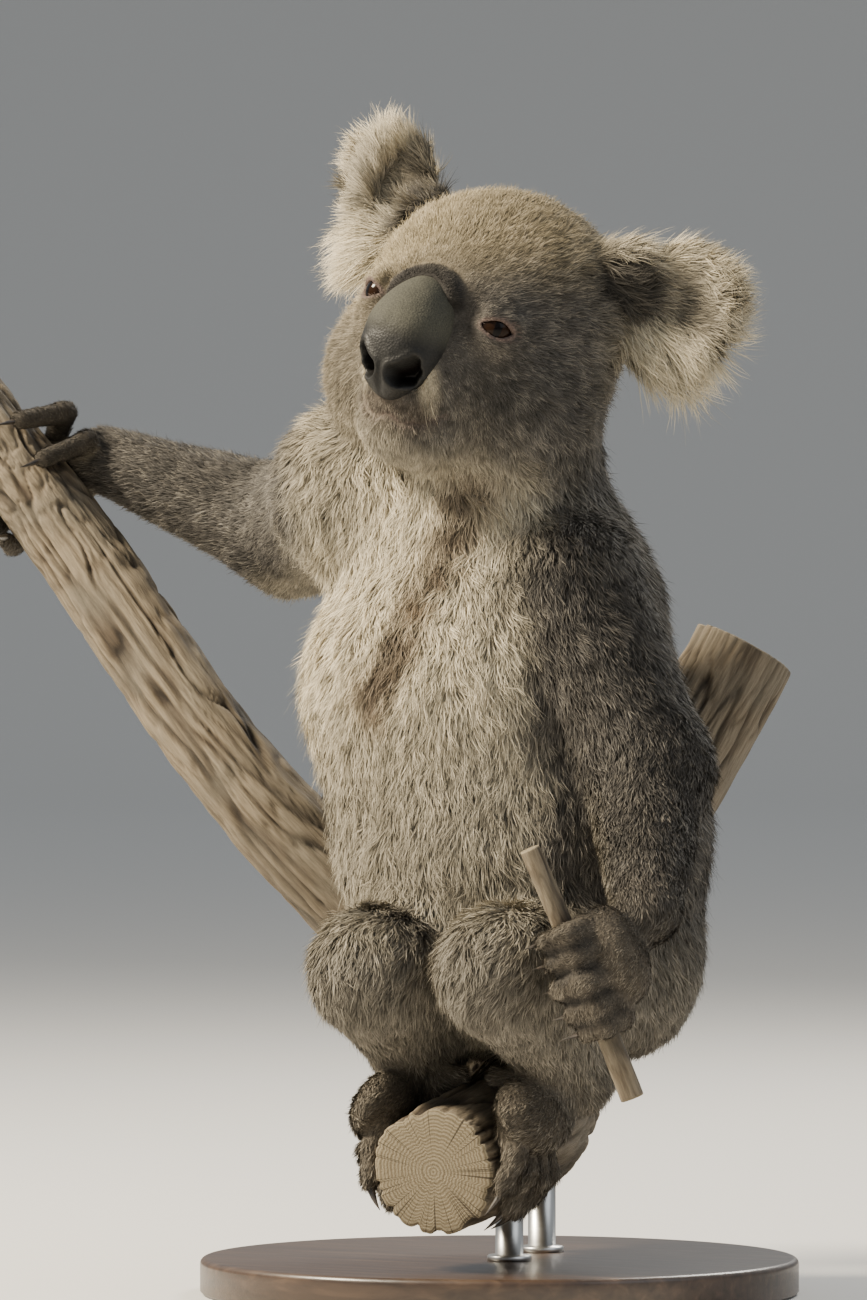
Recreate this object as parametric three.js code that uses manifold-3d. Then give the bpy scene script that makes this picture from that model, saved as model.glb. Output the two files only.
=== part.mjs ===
// A life-size still model of an adult male koala in the fork of a cut branch, on a plain display stand.
// Millimetres, +Z up. The animal faces -Y and its left side is +X. Every solid of flesh gives the
// outline out to the tips of the coat.

import * as THREE from 'three';
import { mergeVertices } from 'three/addons/utils/BufferGeometryUtils.js';
import Module from 'manifold-3d';

const wasm = await Module();
wasm.setup();

// ---------------------------------------------------------------- driving dimensions

const GAP = 0.35; // clearance between solids that touch
const TRIM = 0.8; // clearance cut round a flesh solid, wide enough for its facets
const CLEAN = 0.15; // faces and edges finer than this are merged away after the cuts

const HEAD_CENTRE = [5, -36, 478];
const HEAD_LEFT = [0.958, 0.003, -0.2835]; // towards the animal's left ear: the head leans to its left
const HEAD_FRONT = [0.048, -0.987, 0.1545];
const HEAD_UP = [0.28, 0.161, 0.946];

const SHOULDER = { left: [50, -33, 352], right: [-68, -27, 402] };
const ELBOW = { left: [97, -34, 262], right: [-147, 36, 384] };
const WRIST = { left: [132, -97, 197], right: [-261, 37, 421] };
const HIP = { left: [60, 2, 160], right: [-27, 2, 158] };
const KNEE = { left: [57, -104, 166], right: [-17, -100, 164] };
const ANKLE = { left: [60, -38, 112], right: [-26, -38, 113] };

const SHOULDER_RADIUS = 42;
const ELBOW_RADIUS = 33;
const WRIST_RADIUS = 18;
const HIP_RADIUS = 44;
const KNEE_RADIUS = 33;
const SHIN_TOP_RADIUS = 31;
const ANKLE_RADIUS = 22;

const PALM = {
  left: [126, -117, 176],
  right: [-287, 35, 408],
};
const SOLE = { left: [56, -72, 96], right: [-26, -72, 98] };

// Places on the head are given left, front and up of its centre.
const EYE_PLACE = [32.3, 48, 3];
const EYE_RADIUS = 9.5;
const NOSE_PLACE = [-2.5, 64, -14.5];
const NOSE_SIZE = [22.5, 20, 32.5]; // half width, half depth and half height
const NOSE_TAPER = 0.08; // how much of its width it loses from the bottom to the top
const EAR_PLACE = { left: [86, -23, 41], right: [-84, -23, 48] };
const EAR_SIZE = { left: [36, 15, 41], right: [35, 15, 43] };
const EAR_CORNER = { left: [15, 12], right: [19, 21] }; // outward and up of the ear's middle
const NECK_FOOT = [-3, -18, 398];
const NECK_RADIUS = 60;
const NECK_LENGTH = 130; // reaches up inside the head

const DIGIT_RADIUS = 7.5;
const DIGIT_PRESS = 1.5; // how far a digit is pressed on to the wood
const DIGIT_JOINTS = [0, 0.45, 1]; // where its joints are along its reach
const DIGIT_TIP = 0.8; // how thick its tip is, as a share of its root
const DIGIT_ROOT = 0.35; // where it leaves the palm, from the palm's middle to its first joint
const LONG_TURN = 1; // a digit that turns further than this bends in three steps, a shorter one in two
const KNUCKLE_LIFT = { left: 3, right: 9 }; // how far a finger's knuckle stands off the wood
const TOE_LIFT = 3;
const CLAW_LENGTH = 15;
const CLAW_ROOT = 2.8;
const CLAW_TIP = 0.8;
const HAND_GRIP = { left: 5.5, right: 22 }; // radii of the wood inside the hands
const SOLE_GRIP = 32;

const LOG = { path: [[-20, 70, 108], [6, 0, 84], [20, -108, 68]], radii: [34, 34, 31] };
const LIMB = {
  path: [[-30, 62, 118], [-156, 14, 248], [-267, 9, 382], [-325, -6, 458]],
  radii: [30, 24, 22, 21],
};
const STUMP = { path: [[-8, 74, 120], [14, 104, 214], [57, 146, 322]], radii: [30, 28, 27] };
const TWIG = { path: [[93, -142, 226], [113, -125, 166], [132, -112, 108]], radii: [5, 5.5, 6] };

const BASE_RADIUS = 150;
const BASE_THICKNESS = 18;
const BASE_CENTRE = [-8, 6];
const ROD_RADIUS = 7;
const ROD_PLACES = [[-6, 46], [9, -14]];

// Sizes of the facets
const TRUNK_CELL = 28;
const HEAD_CELL = 16.5;
const EAR_CELL = 16;
const ARM_CELL = 20;
const THIGH_CELL = 23;
const SHIN_CELL = 16.5;
const DIGIT_SIDES = 5;
const WOOD_SIDES = 10;
const WOOD_RINGS = { log: 5, limb: 9, stump: 5, twig: 4 };

// ---------------------------------------------------------------- vectors

const add = (a, b, scale = 1) => [a[0] + scale * b[0], a[1] + scale * b[1], a[2] + scale * b[2]];
const dot = (a, b) => a[0] * b[0] + a[1] * b[1] + a[2] * b[2];
const cross = (a, b) => [a[1] * b[2] - a[2] * b[1], a[2] * b[0] - a[0] * b[2], a[0] * b[1] - a[1] * b[0]];
const unit = (a) => add([0, 0, 0], a, 1 / Math.hypot(...a));
const between = (a, b, share) => add(a, add(b, a, -1), share);
const inHead = (left, front, up) =>
  add(add(add(HEAD_CENTRE, HEAD_LEFT, left), HEAD_FRONT, front), HEAD_UP, up);

// ---------------------------------------------------------------- distance fields of rounded masses

const WORLD = [[1, 0, 0], [0, 1, 0], [0, 0, 1]];
const HEAD_AXES = [HEAD_LEFT, HEAD_FRONT, HEAD_UP];

// An egg-shaped mass: its distance is taken from its half sizes along its own three axes.
function mass(centre, size, axes = WORLD) {
  return (p) => {
    const q = add(p, centre, -1);
    const local = axes.map((axis) => dot(q, axis));
    const near = Math.hypot(local[0] / size[0], local[1] / size[1], local[2] / size[2]);
    const steep = Math.hypot(local[0] / size[0] ** 2, local[1] / size[1] ** 2, local[2] / size[2] ** 2);
    return near < 1e-6 ? -Math.min(...size) : (near * (near - 1)) / steep;
  };
}

// A tapering round length between two joints.
function bone(start, end, startRadius, endRadius) {
  const along = add(end, start, -1);
  return (p) => {
    const share = Math.min(1, Math.max(0, dot(add(p, start, -1), along) / dot(along, along)));
    const away = add(p, add(start, along, share), -1);
    return Math.hypot(...away) - (startRadius + share * (endRadius - startRadius));
  };
}

// Masses flowing into each other over a soft fillet.
function blend(fields, soft) {
  return (p) =>
    fields.reduce((least, field) => {
      const next = field(p);
      const near = Math.max(soft - Math.abs(least - next), 0) / soft;
      return Math.min(least, next) - near * near * soft * 0.25;
    }, 1e6);
}

// ---------------------------------------------------------------- solids

const solidOf = (geometry) => {
  const bare = geometry.clone();
  bare.deleteAttribute('normal');
  bare.deleteAttribute('uv');
  const merged = mergeVertices(bare, 1e-4);
  return new wasm.Manifold(
    new wasm.Mesh({
      numProp: 3,
      vertProperties: Float32Array.from(merged.attributes.position.array),
      triVerts: Uint32Array.from(merged.index.array),
    }),
  );
};

function geometryOf(solid) {
  const mesh = solid.simplify(CLEAN).getMesh();
  const geometry = new THREE.BufferGeometry();
  geometry.setAttribute('position', new THREE.BufferAttribute(Float32Array.from(mesh.vertProperties), 3));
  geometry.setIndex(new THREE.BufferAttribute(Uint32Array.from(mesh.triVerts), 1));
  geometry.computeVertexNormals();
  return geometry;
}

// The closed surface of a field on a grid of cells: one vertex for each cell that the surface crosses,
// moved down the field's slope on to the surface, or a little outside it, and one face for each crossed
// edge. A grown surface has the same faces as the plain one, so the two never cross.
function skinOf(field, [low, high], cell, growth = 0) {
  const count = low.map((value, axis) => Math.ceil((high[axis] - value) / cell) + 1);
  const place = (i, j, k) => [low[0] + i * cell, low[1] + j * cell, low[2] + k * cell];
  const index = (i, j, k) => i + count[0] * (j + count[1] * k);
  const values = new Float64Array(count[0] * count[1] * count[2]);
  for (let k = 0; k < count[2]; k++)
    for (let j = 0; j < count[1]; j++)
      for (let i = 0; i < count[0]; i++) values[index(i, j, k)] = field(place(i, j, k));

  const settle = (start) => {
    let p = start;
    for (let step = 0; step < 3; step++) {
      const here = field(p) - growth;
      const slope = WORLD.map((axis) => field(add(p, axis, 0.5)) - field(add(p, axis, -0.5)));
      p = add(p, slope, -here / Math.max(dot(slope, slope), 0.25));
    }
    return Math.hypot(...add(p, start, -1)) < cell ? p : start;
  };

  const vertexOf = new Map();
  const positions = [];
  const corners = [0, 1, 2, 3, 4, 5, 6, 7].map((c) => [c & 1, (c >> 1) & 1, c >> 2]);
  for (let k = 0; k + 1 < count[2]; k++)
    for (let j = 0; j + 1 < count[1]; j++)
      for (let i = 0; i + 1 < count[0]; i++) {
        const crossings = [];
        corners.forEach((a, from) =>
          corners.slice(from + 1).forEach((b) => {
            if (Math.abs(a[0] - b[0]) + Math.abs(a[1] - b[1]) + Math.abs(a[2] - b[2]) !== 1) return;
            const first = values[index(i + a[0], j + a[1], k + a[2])];
            const second = values[index(i + b[0], j + b[1], k + b[2])];
            if (first < 0 === second < 0) return;
            crossings.push(between(
              place(i + a[0], j + a[1], k + a[2]),
              place(i + b[0], j + b[1], k + b[2]),
              first / (first - second),
            ));
          }),
        );
        if (crossings.length === 0) continue;
        const middle = crossings.reduce((sum, p) => add(sum, p, 1 / crossings.length), [0, 0, 0]);
        vertexOf.set(index(i, j, k), positions.length / 3);
        positions.push(...settle(middle));
      }

  const faces = [];
  for (let k = 1; k + 1 < count[2]; k++)
    for (let j = 1; j + 1 < count[1]; j++)
      for (let i = 1; i + 1 < count[0]; i++)
        for (let axis = 0; axis < 3; axis++) {
          const next = [i, j, k].map((value, at) => value + (at === axis ? 1 : 0));
          const inside = values[index(i, j, k)] < 0;
          if (inside === values[index(...next)] < 0) continue;
          const u = WORLD[(axis + 1) % 3];
          const v = WORLD[(axis + 2) % 3];
          const ring = [[1, 1], [0, 1], [0, 0], [1, 0]].map(([s, t]) =>
            vertexOf.get(index(i - s * u[0] - t * v[0], j - s * u[1] - t * v[1], k - s * u[2] - t * v[2])));
          const [a, b, c, d] = inside ? ring : ring.reverse();
          faces.push(a, b, c, a, c, d);
        }

  const geometry = new THREE.BufferGeometry();
  geometry.setAttribute('position', new THREE.BufferAttribute(new Float32Array(positions), 3));
  geometry.setIndex(faces);
  return solidOf(geometry);
}

const boxRound = (points, margin) => [
  [0, 1, 2].map((axis) => Math.min(...points.map((p) => p[axis])) - margin),
  [0, 1, 2].map((axis) => Math.max(...points.map((p) => p[axis])) + margin),
];

// A round length along a path, its radius changing evenly from point to point, with flat ends.
function lengthOf(path, radii, sides, rings, extra = 0) {
  const curve = new THREE.CatmullRomCurve3(path.map((p) => new THREE.Vector3(...p)), false, 'centripetal');
  const radiusAt = (t) => {
    const at = t * (radii.length - 1);
    const from = Math.min(Math.floor(at), radii.length - 2);
    return radii[from] + (radii[from + 1] - radii[from]) * (at - from) + extra;
  };
  const frames = curve.computeFrenetFrames(rings, false);
  const positions = [];
  for (let ring = 0; ring <= rings; ring++) {
    const centre = curve.getPoint(ring / rings);
    const tangent = curve.getTangent(ring / rings);
    if (ring === 0) centre.addScaledVector(tangent, -extra);
    if (ring === rings) centre.addScaledVector(tangent, extra);
    for (let side = 0; side < sides; side++) {
      const angle = (2 * Math.PI * side) / sides;
      const out = frames.normals[ring].clone().multiplyScalar(Math.cos(angle))
        .addScaledVector(frames.binormals[ring], Math.sin(angle));
      positions.push(...centre.clone().addScaledVector(out, radiusAt(ring / rings)).toArray());
    }
  }
  const faces = [];
  for (let ring = 0; ring < rings; ring++)
    for (let side = 0; side < sides; side++) {
      const a = ring * sides + side;
      const b = ring * sides + ((side + 1) % sides);
      faces.push(a, b, b + sides, a, b + sides, a + sides);
    }
  for (let side = 1; side + 1 < sides; side++) {
    faces.push(0, side + 1, side);
    faces.push(rings * sides, rings * sides + side, rings * sides + side + 1);
  }
  const geometry = new THREE.BufferGeometry();
  geometry.setAttribute('position', new THREE.BufferAttribute(new Float32Array(positions), 3));
  geometry.setIndex(faces);
  return solidOf(geometry);
}

// A cone with blunt ends, for one bone of a digit or for a claw.
function capsuleOf(start, end, startRadius, endRadius, sides = 6) {
  const length = Math.hypot(...add(end, start, -1));
  const profile = [
    new THREE.Vector2(0, -0.75 * startRadius),
    new THREE.Vector2(startRadius, 0),
    new THREE.Vector2(endRadius, length),
    new THREE.Vector2(0, length + 0.75 * endRadius),
  ];
  const geometry = new THREE.LatheGeometry(profile, sides);
  const turn = new THREE.Quaternion().setFromUnitVectors(
    new THREE.Vector3(0, 1, 0), new THREE.Vector3(...unit(add(end, start, -1))));
  geometry.applyQuaternion(turn);
  geometry.translate(...start);
  return solidOf(geometry);
}

// A ball stretched along three axes.
function eggOf(centre, size, axes = WORLD, columns = 16, rows = 10) {
  const geometry = new THREE.SphereGeometry(1, columns, rows);
  const matrix = new THREE.Matrix4().makeBasis(
    ...axes.map((axis, at) => new THREE.Vector3(...axis).multiplyScalar(size[at])));
  geometry.applyMatrix4(matrix.setPosition(...centre));
  if (matrix.determinant() < 0) geometry.setIndex(Array.from(geometry.index.array).reverse());
  return solidOf(geometry);
}

const largestOf = (solid) => solid.decompose().reduce((a, b) => (a.volume() > b.volume() ? a : b));
const joined = (solids) => solids.reduce((sum, next) => sum.add(next));
const without = (solid, cutters) => cutters.reduce((rest, cutter) => rest.subtract(cutter), solid);

// The half of space on the side of a point that a direction points to, as a large block.
function beyond(point, direction, offset = 0, reach = 700) {
  const towards = unit(direction);
  const geometry = new THREE.BoxGeometry(reach, reach, reach);
  geometry.translate(0, 0, reach / 2 + offset);
  geometry.applyQuaternion(new THREE.Quaternion().setFromUnitVectors(
    new THREE.Vector3(0, 0, 1), new THREE.Vector3(...towards)));
  geometry.translate(...point);
  return solidOf(geometry);
}

// ---------------------------------------------------------------- the cut branch that it sits in

const logOf = (extra) => lengthOf(LOG.path, LOG.radii, WOOD_SIDES, WOOD_RINGS.log, extra);
const limbOf = (extra) => lengthOf(LIMB.path, LIMB.radii, WOOD_SIDES, WOOD_RINGS.limb, extra);
const stumpOf = (extra) => lengthOf(STUMP.path, STUMP.radii, WOOD_SIDES, WOOD_RINGS.stump, extra);
const twigOf = (extra) => lengthOf(TWIG.path, TWIG.radii, 8, WOOD_RINGS.twig, extra);

const perchLog = logOf(0);
const perchLimb = limbOf(0).subtract(logOf(GAP));
const perchStump = without(stumpOf(0), [logOf(GAP), limbOf(GAP)]);
const wood = [logOf(GAP), limbOf(GAP), stumpOf(GAP)];

// ---------------------------------------------------------------- trunk, neck and head

const trunkField = blend([
  mass([13, 6, 178], [83, 84, 60]), // rump
  mass([8, 0, 228], [101, 90, 84]), // belly
  mass([-8, -12, 302], [97, 83, 92]), // chest
  mass([2, 32, 268], [80, 66, 112]), // back
  mass([-8, 22, 352], [76, 60, 56]), // shoulder blades
  mass(SHOULDER.right, [50, 48, 50]),
  mass([47, -24, 348], [42, 44, 46]), // left shoulder
  bone([-4, -10, 376], [4, -28, 444], 66, 58), // neck
], 26);

const headField = blend([
  mass(inHead(0, -10, 14), [68, 62, 63], HEAD_AXES), // skull
  mass(inHead(33, 0, -28), [40, 50, 46], HEAD_AXES), // left cheek
  mass(inHead(-33, 0, -28), [40, 50, 46], HEAD_AXES), // right cheek
  mass(inHead(0, 36, 3), [46, 30, 33], HEAD_AXES), // brow
  mass(inHead(0, 48, -28), [33, 28, 31], HEAD_AXES), // muzzle
  mass(inHead(0, 38, -58), [29, 26, 20], HEAD_AXES), // chin
], 16);

function noseOf(extra) {
  const geometry = new THREE.SphereGeometry(1, 14, 9);
  const spots = geometry.attributes.position;
  for (let at = 0; at < spots.count; at++) {
    const up = spots.getZ(at);
    const wide = 1 - (NOSE_TAPER * (up + 1)) / 2;
    const [left, front, high] = [spots.getX(at) * wide, spots.getY(at), up];
    spots.setXYZ(at, ...add(inHead(0, 0, 0), inHead(
      NOSE_PLACE[0] + left * (NOSE_SIZE[0] + extra),
      NOSE_PLACE[1] + front * (NOSE_SIZE[1] + extra),
      NOSE_PLACE[2] + high * (NOSE_SIZE[2] + extra),
    ).map((value, axis) => value - HEAD_CENTRE[axis])));
  }
  const handed = dot(cross(HEAD_LEFT, HEAD_FRONT), HEAD_UP);
  if (handed < 0) geometry.setIndex(Array.from(geometry.index.array).reverse());
  return solidOf(geometry);
}

const eyeOf = (side, extra) =>
  eggOf(inHead(side * EYE_PLACE[0], EYE_PLACE[1], EYE_PLACE[2]),
    [EYE_RADIUS + extra, EYE_RADIUS + extra, EYE_RADIUS + extra], WORLD, 10, 6);

const TRUNK_BOX = [[-150, -130, 80], [150, 130, 520]];
const HEAD_BOX = [[-93, -150, 376], [104, 64, 580]];
const headWhole = skinOf(headField, HEAD_BOX, HEAD_CELL);
const headRoom = skinOf(headField, HEAD_BOX, HEAD_CELL, TRIM);
const trunkWhole = skinOf(trunkField, TRUNK_BOX, TRUNK_CELL);
const trunkRoom = skinOf(trunkField, TRUNK_BOX, TRUNK_CELL, TRIM);

const head = without(headWhole, [noseOf(GAP), eyeOf(1, GAP), eyeOf(-1, GAP)]);

const neckCutter = (extra) => lengthOf(
  [add(NECK_FOOT, HEAD_UP, -extra), add(NECK_FOOT, HEAD_UP, NECK_LENGTH)],
  [NECK_RADIUS + extra, NECK_RADIUS + extra], 12, 1);
const neck = trunkWhole.intersect(neckCutter(0)).subtract(headRoom);
const trunk = without(trunkWhole, [headRoom, neckCutter(GAP), ...wood]);

// ---------------------------------------------------------------- ears

function earOf(side) {
  const sign = side === 'left' ? 1 : -1;
  const [left, front, up] = EAR_PLACE[side];
  const facing = unit(add(add(add([0, 0, 0], HEAD_FRONT, 0.95), HEAD_LEFT, sign * 0.3), HEAD_UP, 0.1));
  const across = unit(cross(facing, HEAD_UP));
  const axes = [across, facing, cross(across, facing)];
  const centre = inHead(left, front, up);
  const field = blend([
    mass(centre, EAR_SIZE[side], axes),
    mass(inHead(left + sign * EAR_CORNER[side][0], front, up + EAR_CORNER[side][1]), [25, 13, 27], axes),
    mass(inHead(left + sign * 12, front + 4, up - 14), [28, 15, 36], axes), // fringe
    bone(inHead(sign * 54, -18, 43), centre, 25, 15), // root
  ], 12);
  return skinOf(field, boxRound([centre], 74), EAR_CELL).subtract(headRoom);
}

// ---------------------------------------------------------------- limbs

// Parts a limb at its middle joint by the plane that halves the angle there, and ends it at a plane
// square to its lower length.
function partLimb(whole, root, middle, end, cutters) {
  const up = unit(add(root, middle, -1));
  const down = unit(add(end, middle, -1));
  const halving = add(up, down, -1);
  const lower = without(whole.intersect(beyond(middle, halving.map((v) => -v), GAP)), cutters);
  return {
    upper: without(whole.intersect(beyond(middle, halving)), cutters),
    lower: lower.subtract(beyond(end, down, -GAP)),
  };
}

const armSkin = (side) => skinOf(
  blend([
    bone(SHOULDER[side], ELBOW[side], SHOULDER_RADIUS, ELBOW_RADIUS),
    bone(ELBOW[side], WRIST[side], ELBOW_RADIUS, WRIST_RADIUS),
  ], 14),
  boxRound([SHOULDER[side], ELBOW[side], WRIST[side]], 62), ARM_CELL);

const armOf = (side) =>
  partLimb(armSkin(side), SHOULDER[side], ELBOW[side], WRIST[side], [trunkRoom, headRoom]);

// The room that a forearm takes up as far as the wrist, as a plain sleeve round it.
const armRoomOf = (side) => lengthOf(
  [between(ELBOW[side], WRIST[side], 0.5), WRIST[side]],
  [(ELBOW_RADIUS + WRIST_RADIUS) / 2 + SLEEVE, WRIST_RADIUS + SLEEVE], 10, 1);

// The thigh is one rounded length from the hip, and the shin folds back under it.
function legOf(side) {
  const thighField = bone(HIP[side], KNEE[side], HIP_RADIUS, KNEE_RADIUS);
  const shinField = bone(KNEE[side], ANKLE[side], SHIN_TOP_RADIUS, ANKLE_RADIUS);
  const box = boxRound([HIP[side], KNEE[side], ANKLE[side]], 78);
  const thigh = skinOf(thighField, box, THIGH_CELL);
  const shin = skinOf(shinField, box, SHIN_CELL).subtract(skinOf(thighField, box, THIGH_CELL, TRIM));
  return {
    thigh: without(thigh, [trunkRoom, ...wood]),
    shin: largestOf(without(shin, [trunkRoom, ...wood])),
    room: skinOf(shinField, box, SHIN_CELL, TRIM),
  };
}

// ---------------------------------------------------------------- hands and feet

// A gripping hand or foot: a palm, a cuff up to the wrist, and digits bent round a wooden length. Each digit
// starts at an angle from the palm, turns as far as it reaches, leans along the wood, ends in a claw.
function gripOf({ foot, axis, radius, centre, towards, palmSize, cuff, digits, knuckle }) {
  const across = unit(cross(axis, towards));
  const spot = (along, angle, out) => {
    const turned = add(towards.map((v) => v * Math.cos(angle)), across, Math.sin(angle));
    return add(add(foot, axis, along), turned, radius + out);
  };
  const solids = [eggOf(centre, palmSize, [axis, across, towards], 7, 4), cuff];
  digits.forEach(({ along, start, turn, lean = 0, thick = DIGIT_RADIUS, claw = true }) => {
    const lift = thick - DIGIT_PRESS;
    const joints = DIGIT_JOINTS.map((share, at) =>
      spot(along + lean * share, start + turn * share, at === 1 ? lift + knuckle : lift));
    const root = add(between(centre, joints[0], DIGIT_ROOT), towards, 1);
    const rings = Math.abs(turn) > LONG_TURN ? 3 : 2;
    solids.push(lengthOf([root, ...joints], [thick, thick, thick, thick * DIGIT_TIP], DIGIT_SIDES, rings));
    if (!claw) return;
    const before = spot(along + lean * 0.9, start + turn * 0.85, thick - 1);
    const clawEnd = add(joints[2], unit(add(joints[2], before, -1)), CLAW_LENGTH);
    solids.push(capsuleOf(joints[2], clawEnd, CLAW_ROOT, CLAW_TIP, 3));
  });
  return joined(solids);
}

const nearestOn = (path, point) => {
  const curve = new THREE.CatmullRomCurve3(path.map((p) => new THREE.Vector3(...p)), false, 'centripetal');
  const target = new THREE.Vector3(...point);
  const shares = Array.from({ length: 101 }, (_, at) => at / 100);
  const best = shares.reduce((a, b) =>
    (curve.getPoint(a).distanceTo(target) < curve.getPoint(b).distanceTo(target) ? a : b));
  return { foot: curve.getPoint(best).toArray(), axis: unit(curve.getTangent(best).toArray()) };
};

// A cuff runs from the wrist or ankle to the middle of the palm, inside the end of the limb.
function handOf(held, radius, centre, palmSize, digits, wrist, cuffRadius, knuckle) {
  const { foot, axis } = nearestOn(held.path, centre);
  const out = add(centre, foot, -1);
  const towards = unit(add(out, axis, -dot(out, axis)));
  const cuff = lengthOf([wrist, between(wrist, centre, 0.6), centre],
    [cuffRadius, cuffRadius * 0.9, cuffRadius * 0.5], 9, 2);
  return gripOf({ foot, axis, radius, centre, towards, palmSize, cuff, digits, knuckle });
}

const leftHandDigits = [
  { along: -18, start: 0.5, turn: 2.3 },
  { along: -7, start: 0.4, turn: 2.5 },
  { along: 6, start: 0.4, turn: 2.6, thick: 9 },
  { along: 19, start: 0.5, turn: 2.3, thick: 8.5 },
  { along: 29, start: 0.7, turn: 1.9 },
];
const rightHandDigits = [
  { along: 17, start: -0.5, turn: -1.6, lean: 12 },
  { along: 1, start: -0.5, turn: -1.7, lean: 4 },
  { along: 18, start: 0.5, turn: 1.6 },
  { along: 3, start: 0.5, turn: 1.7 },
  { along: -12, start: 0.6, turn: 1.5, thick: 6.5 },
];
const footDigits = (outward) => [
  { along: -20, start: -outward * 0.25, turn: -outward * 0.45, thick: 8, claw: false }, // great toe
  { along: 20, start: outward * 0.1, turn: outward * 0.6, lean: 16 },
  { along: 10, start: outward * 0.3, turn: outward * 0.75, lean: 12 },
  { along: -3, start: outward * 0.4, turn: outward * 0.8, lean: 8 },
  { along: -16, start: outward * 0.45, turn: outward * 0.75, thick: 6.5 },
];

const SLEEVE = 3; // how far the room cut for a forearm stands off its surface
const CUFF_INSET = 1; // how much thinner a cuff is than the limb's end
const PALM_SIZE = { left: [27, 21, 16], right: [22, 19, 12] };
const SOLE_SIZE = [34, 22, 15];

function makeHand(side) {
  const held = side === 'left' ? TWIG : LIMB;
  const digits = side === 'left' ? leftHandDigits : rightHandDigits;
  const whole = handOf(held, HAND_GRIP[side], PALM[side], PALM_SIZE[side], digits,
    WRIST[side], WRIST_RADIUS - CUFF_INSET, KNUCKLE_LIFT[side]);
  return largestOf(without(whole, [armRoomOf(side), ...(side === 'left' ? [twigOf(GAP)] : wood)]));
}

function makeFoot(side, shinRoom) {
  const digits = footDigits(side === 'left' ? -1 : 1);
  const whole = handOf(LOG, SOLE_GRIP, SOLE[side], SOLE_SIZE, digits,
    ANKLE[side], ANKLE_RADIUS - 2 * CUFF_INSET, TOE_LIFT);
  return largestOf(without(whole, [...wood, shinRoom]));
}

// ---------------------------------------------------------------- stand

function discOf([x, y], radius, low, high, sides, edge = 0) {
  const profile = [
    new THREE.Vector2(0, low),
    new THREE.Vector2(radius, low),
    new THREE.Vector2(radius, high - edge),
    ...(edge > 0 ? [new THREE.Vector2(radius - edge, high)] : []),
    new THREE.Vector2(0, high),
  ];
  const geometry = new THREE.LatheGeometry(profile, sides);
  geometry.rotateX(Math.PI / 2);
  geometry.translate(x, y, 0);
  return solidOf(geometry);
}

const standBase = discOf(BASE_CENTRE, BASE_RADIUS, 0, BASE_THICKNESS, 20, 3);
const standRods = ROD_PLACES.map((place) =>
  discOf(place, ROD_RADIUS, BASE_THICKNESS + GAP, 90, 10).subtract(logOf(GAP))
    .intersect(beyond([0, 0, 75], [0, 0, -1])));

// ---------------------------------------------------------------- the whole koala

const COLOURS = {
  coat: { color: 0x8b857c, roughness: 0.9, metalness: 0 },
  pale: { color: 0xd8d0c0, roughness: 0.9, metalness: 0 },
  nose: { color: 0x2c2f34, roughness: 0.45, metalness: 0 },
  eye: { color: 0x4a2e18, roughness: 0.1, metalness: 0 },
  bark: { color: 0x8a7460, roughness: 0.85, metalness: 0 },
  base: { color: 0x3a2f27, roughness: 0.5, metalness: 0 },
  steel: { color: 0xa8a8a8, roughness: 0.3, metalness: 1 },
};

const model = new THREE.Group();
function place(name, solid, look) {
  const mesh = new THREE.Mesh(geometryOf(solid), new THREE.MeshStandardMaterial(COLOURS[look]));
  mesh.name = name;
  model.add(mesh);
}

place('stand_base', standBase, 'base');
standRods.forEach((rod, at) => place(`stand_rod_${at + 1}`, rod, 'steel'));
place('perch_log', perchLog, 'bark');
place('perch_limb', perchLimb, 'bark');
place('perch_stump', perchStump, 'bark');
place('perch_twig', twigOf(0), 'bark');
place('trunk', trunk, 'coat');
place('neck', neck, 'coat');
place('head', head, 'coat');
place('nose', noseOf(0), 'nose');
for (const [side, sign] of [['left', 1], ['right', -1]]) {
  const arm = armOf(side);
  const leg = legOf(side);
  place(`eye_${side}`, eyeOf(sign, 0), 'eye');
  place(`ear_${side}`, earOf(side), 'pale');
  place(`upper_arm_${side}`, arm.upper, 'coat');
  place(`forearm_${side}`, arm.lower, 'coat');
  place(`hand_${side}`, makeHand(side), 'coat');
  place(`thigh_${side}`, leg.thigh, 'coat');
  place(`shin_${side}`, leg.shin, 'coat');
  place(`foot_${side}`, makeFoot(side, leg.room), 'coat');
}

const bounds = new THREE.Box3().setFromObject(model);
const middle = bounds.getCenter(new THREE.Vector3());
model.position.set(-middle.x, -middle.y, -bounds.min.z);

export default model;
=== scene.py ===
import bpy
import numpy as np
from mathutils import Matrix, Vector


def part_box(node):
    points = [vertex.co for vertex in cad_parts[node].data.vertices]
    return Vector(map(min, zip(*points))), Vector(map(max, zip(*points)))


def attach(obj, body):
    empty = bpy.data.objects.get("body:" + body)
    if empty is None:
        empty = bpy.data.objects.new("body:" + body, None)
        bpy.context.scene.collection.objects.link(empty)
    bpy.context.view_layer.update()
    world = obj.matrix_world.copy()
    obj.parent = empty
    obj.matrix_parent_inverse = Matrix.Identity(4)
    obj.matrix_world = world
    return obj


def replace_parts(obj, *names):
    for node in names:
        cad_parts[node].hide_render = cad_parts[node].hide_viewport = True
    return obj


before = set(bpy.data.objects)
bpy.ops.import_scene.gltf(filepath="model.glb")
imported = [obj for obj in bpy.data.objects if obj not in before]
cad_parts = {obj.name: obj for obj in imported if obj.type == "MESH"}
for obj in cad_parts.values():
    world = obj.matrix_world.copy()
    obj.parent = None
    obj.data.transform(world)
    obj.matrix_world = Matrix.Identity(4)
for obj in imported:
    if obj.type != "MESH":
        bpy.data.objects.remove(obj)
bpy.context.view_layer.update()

# ---------------------------------------------------------------- display stand
# The base is a turned disc of dark stained hardwood with an eased edge and a thin satin varnish.
# Two short steel rods stand in it and hold the log from below.

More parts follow.
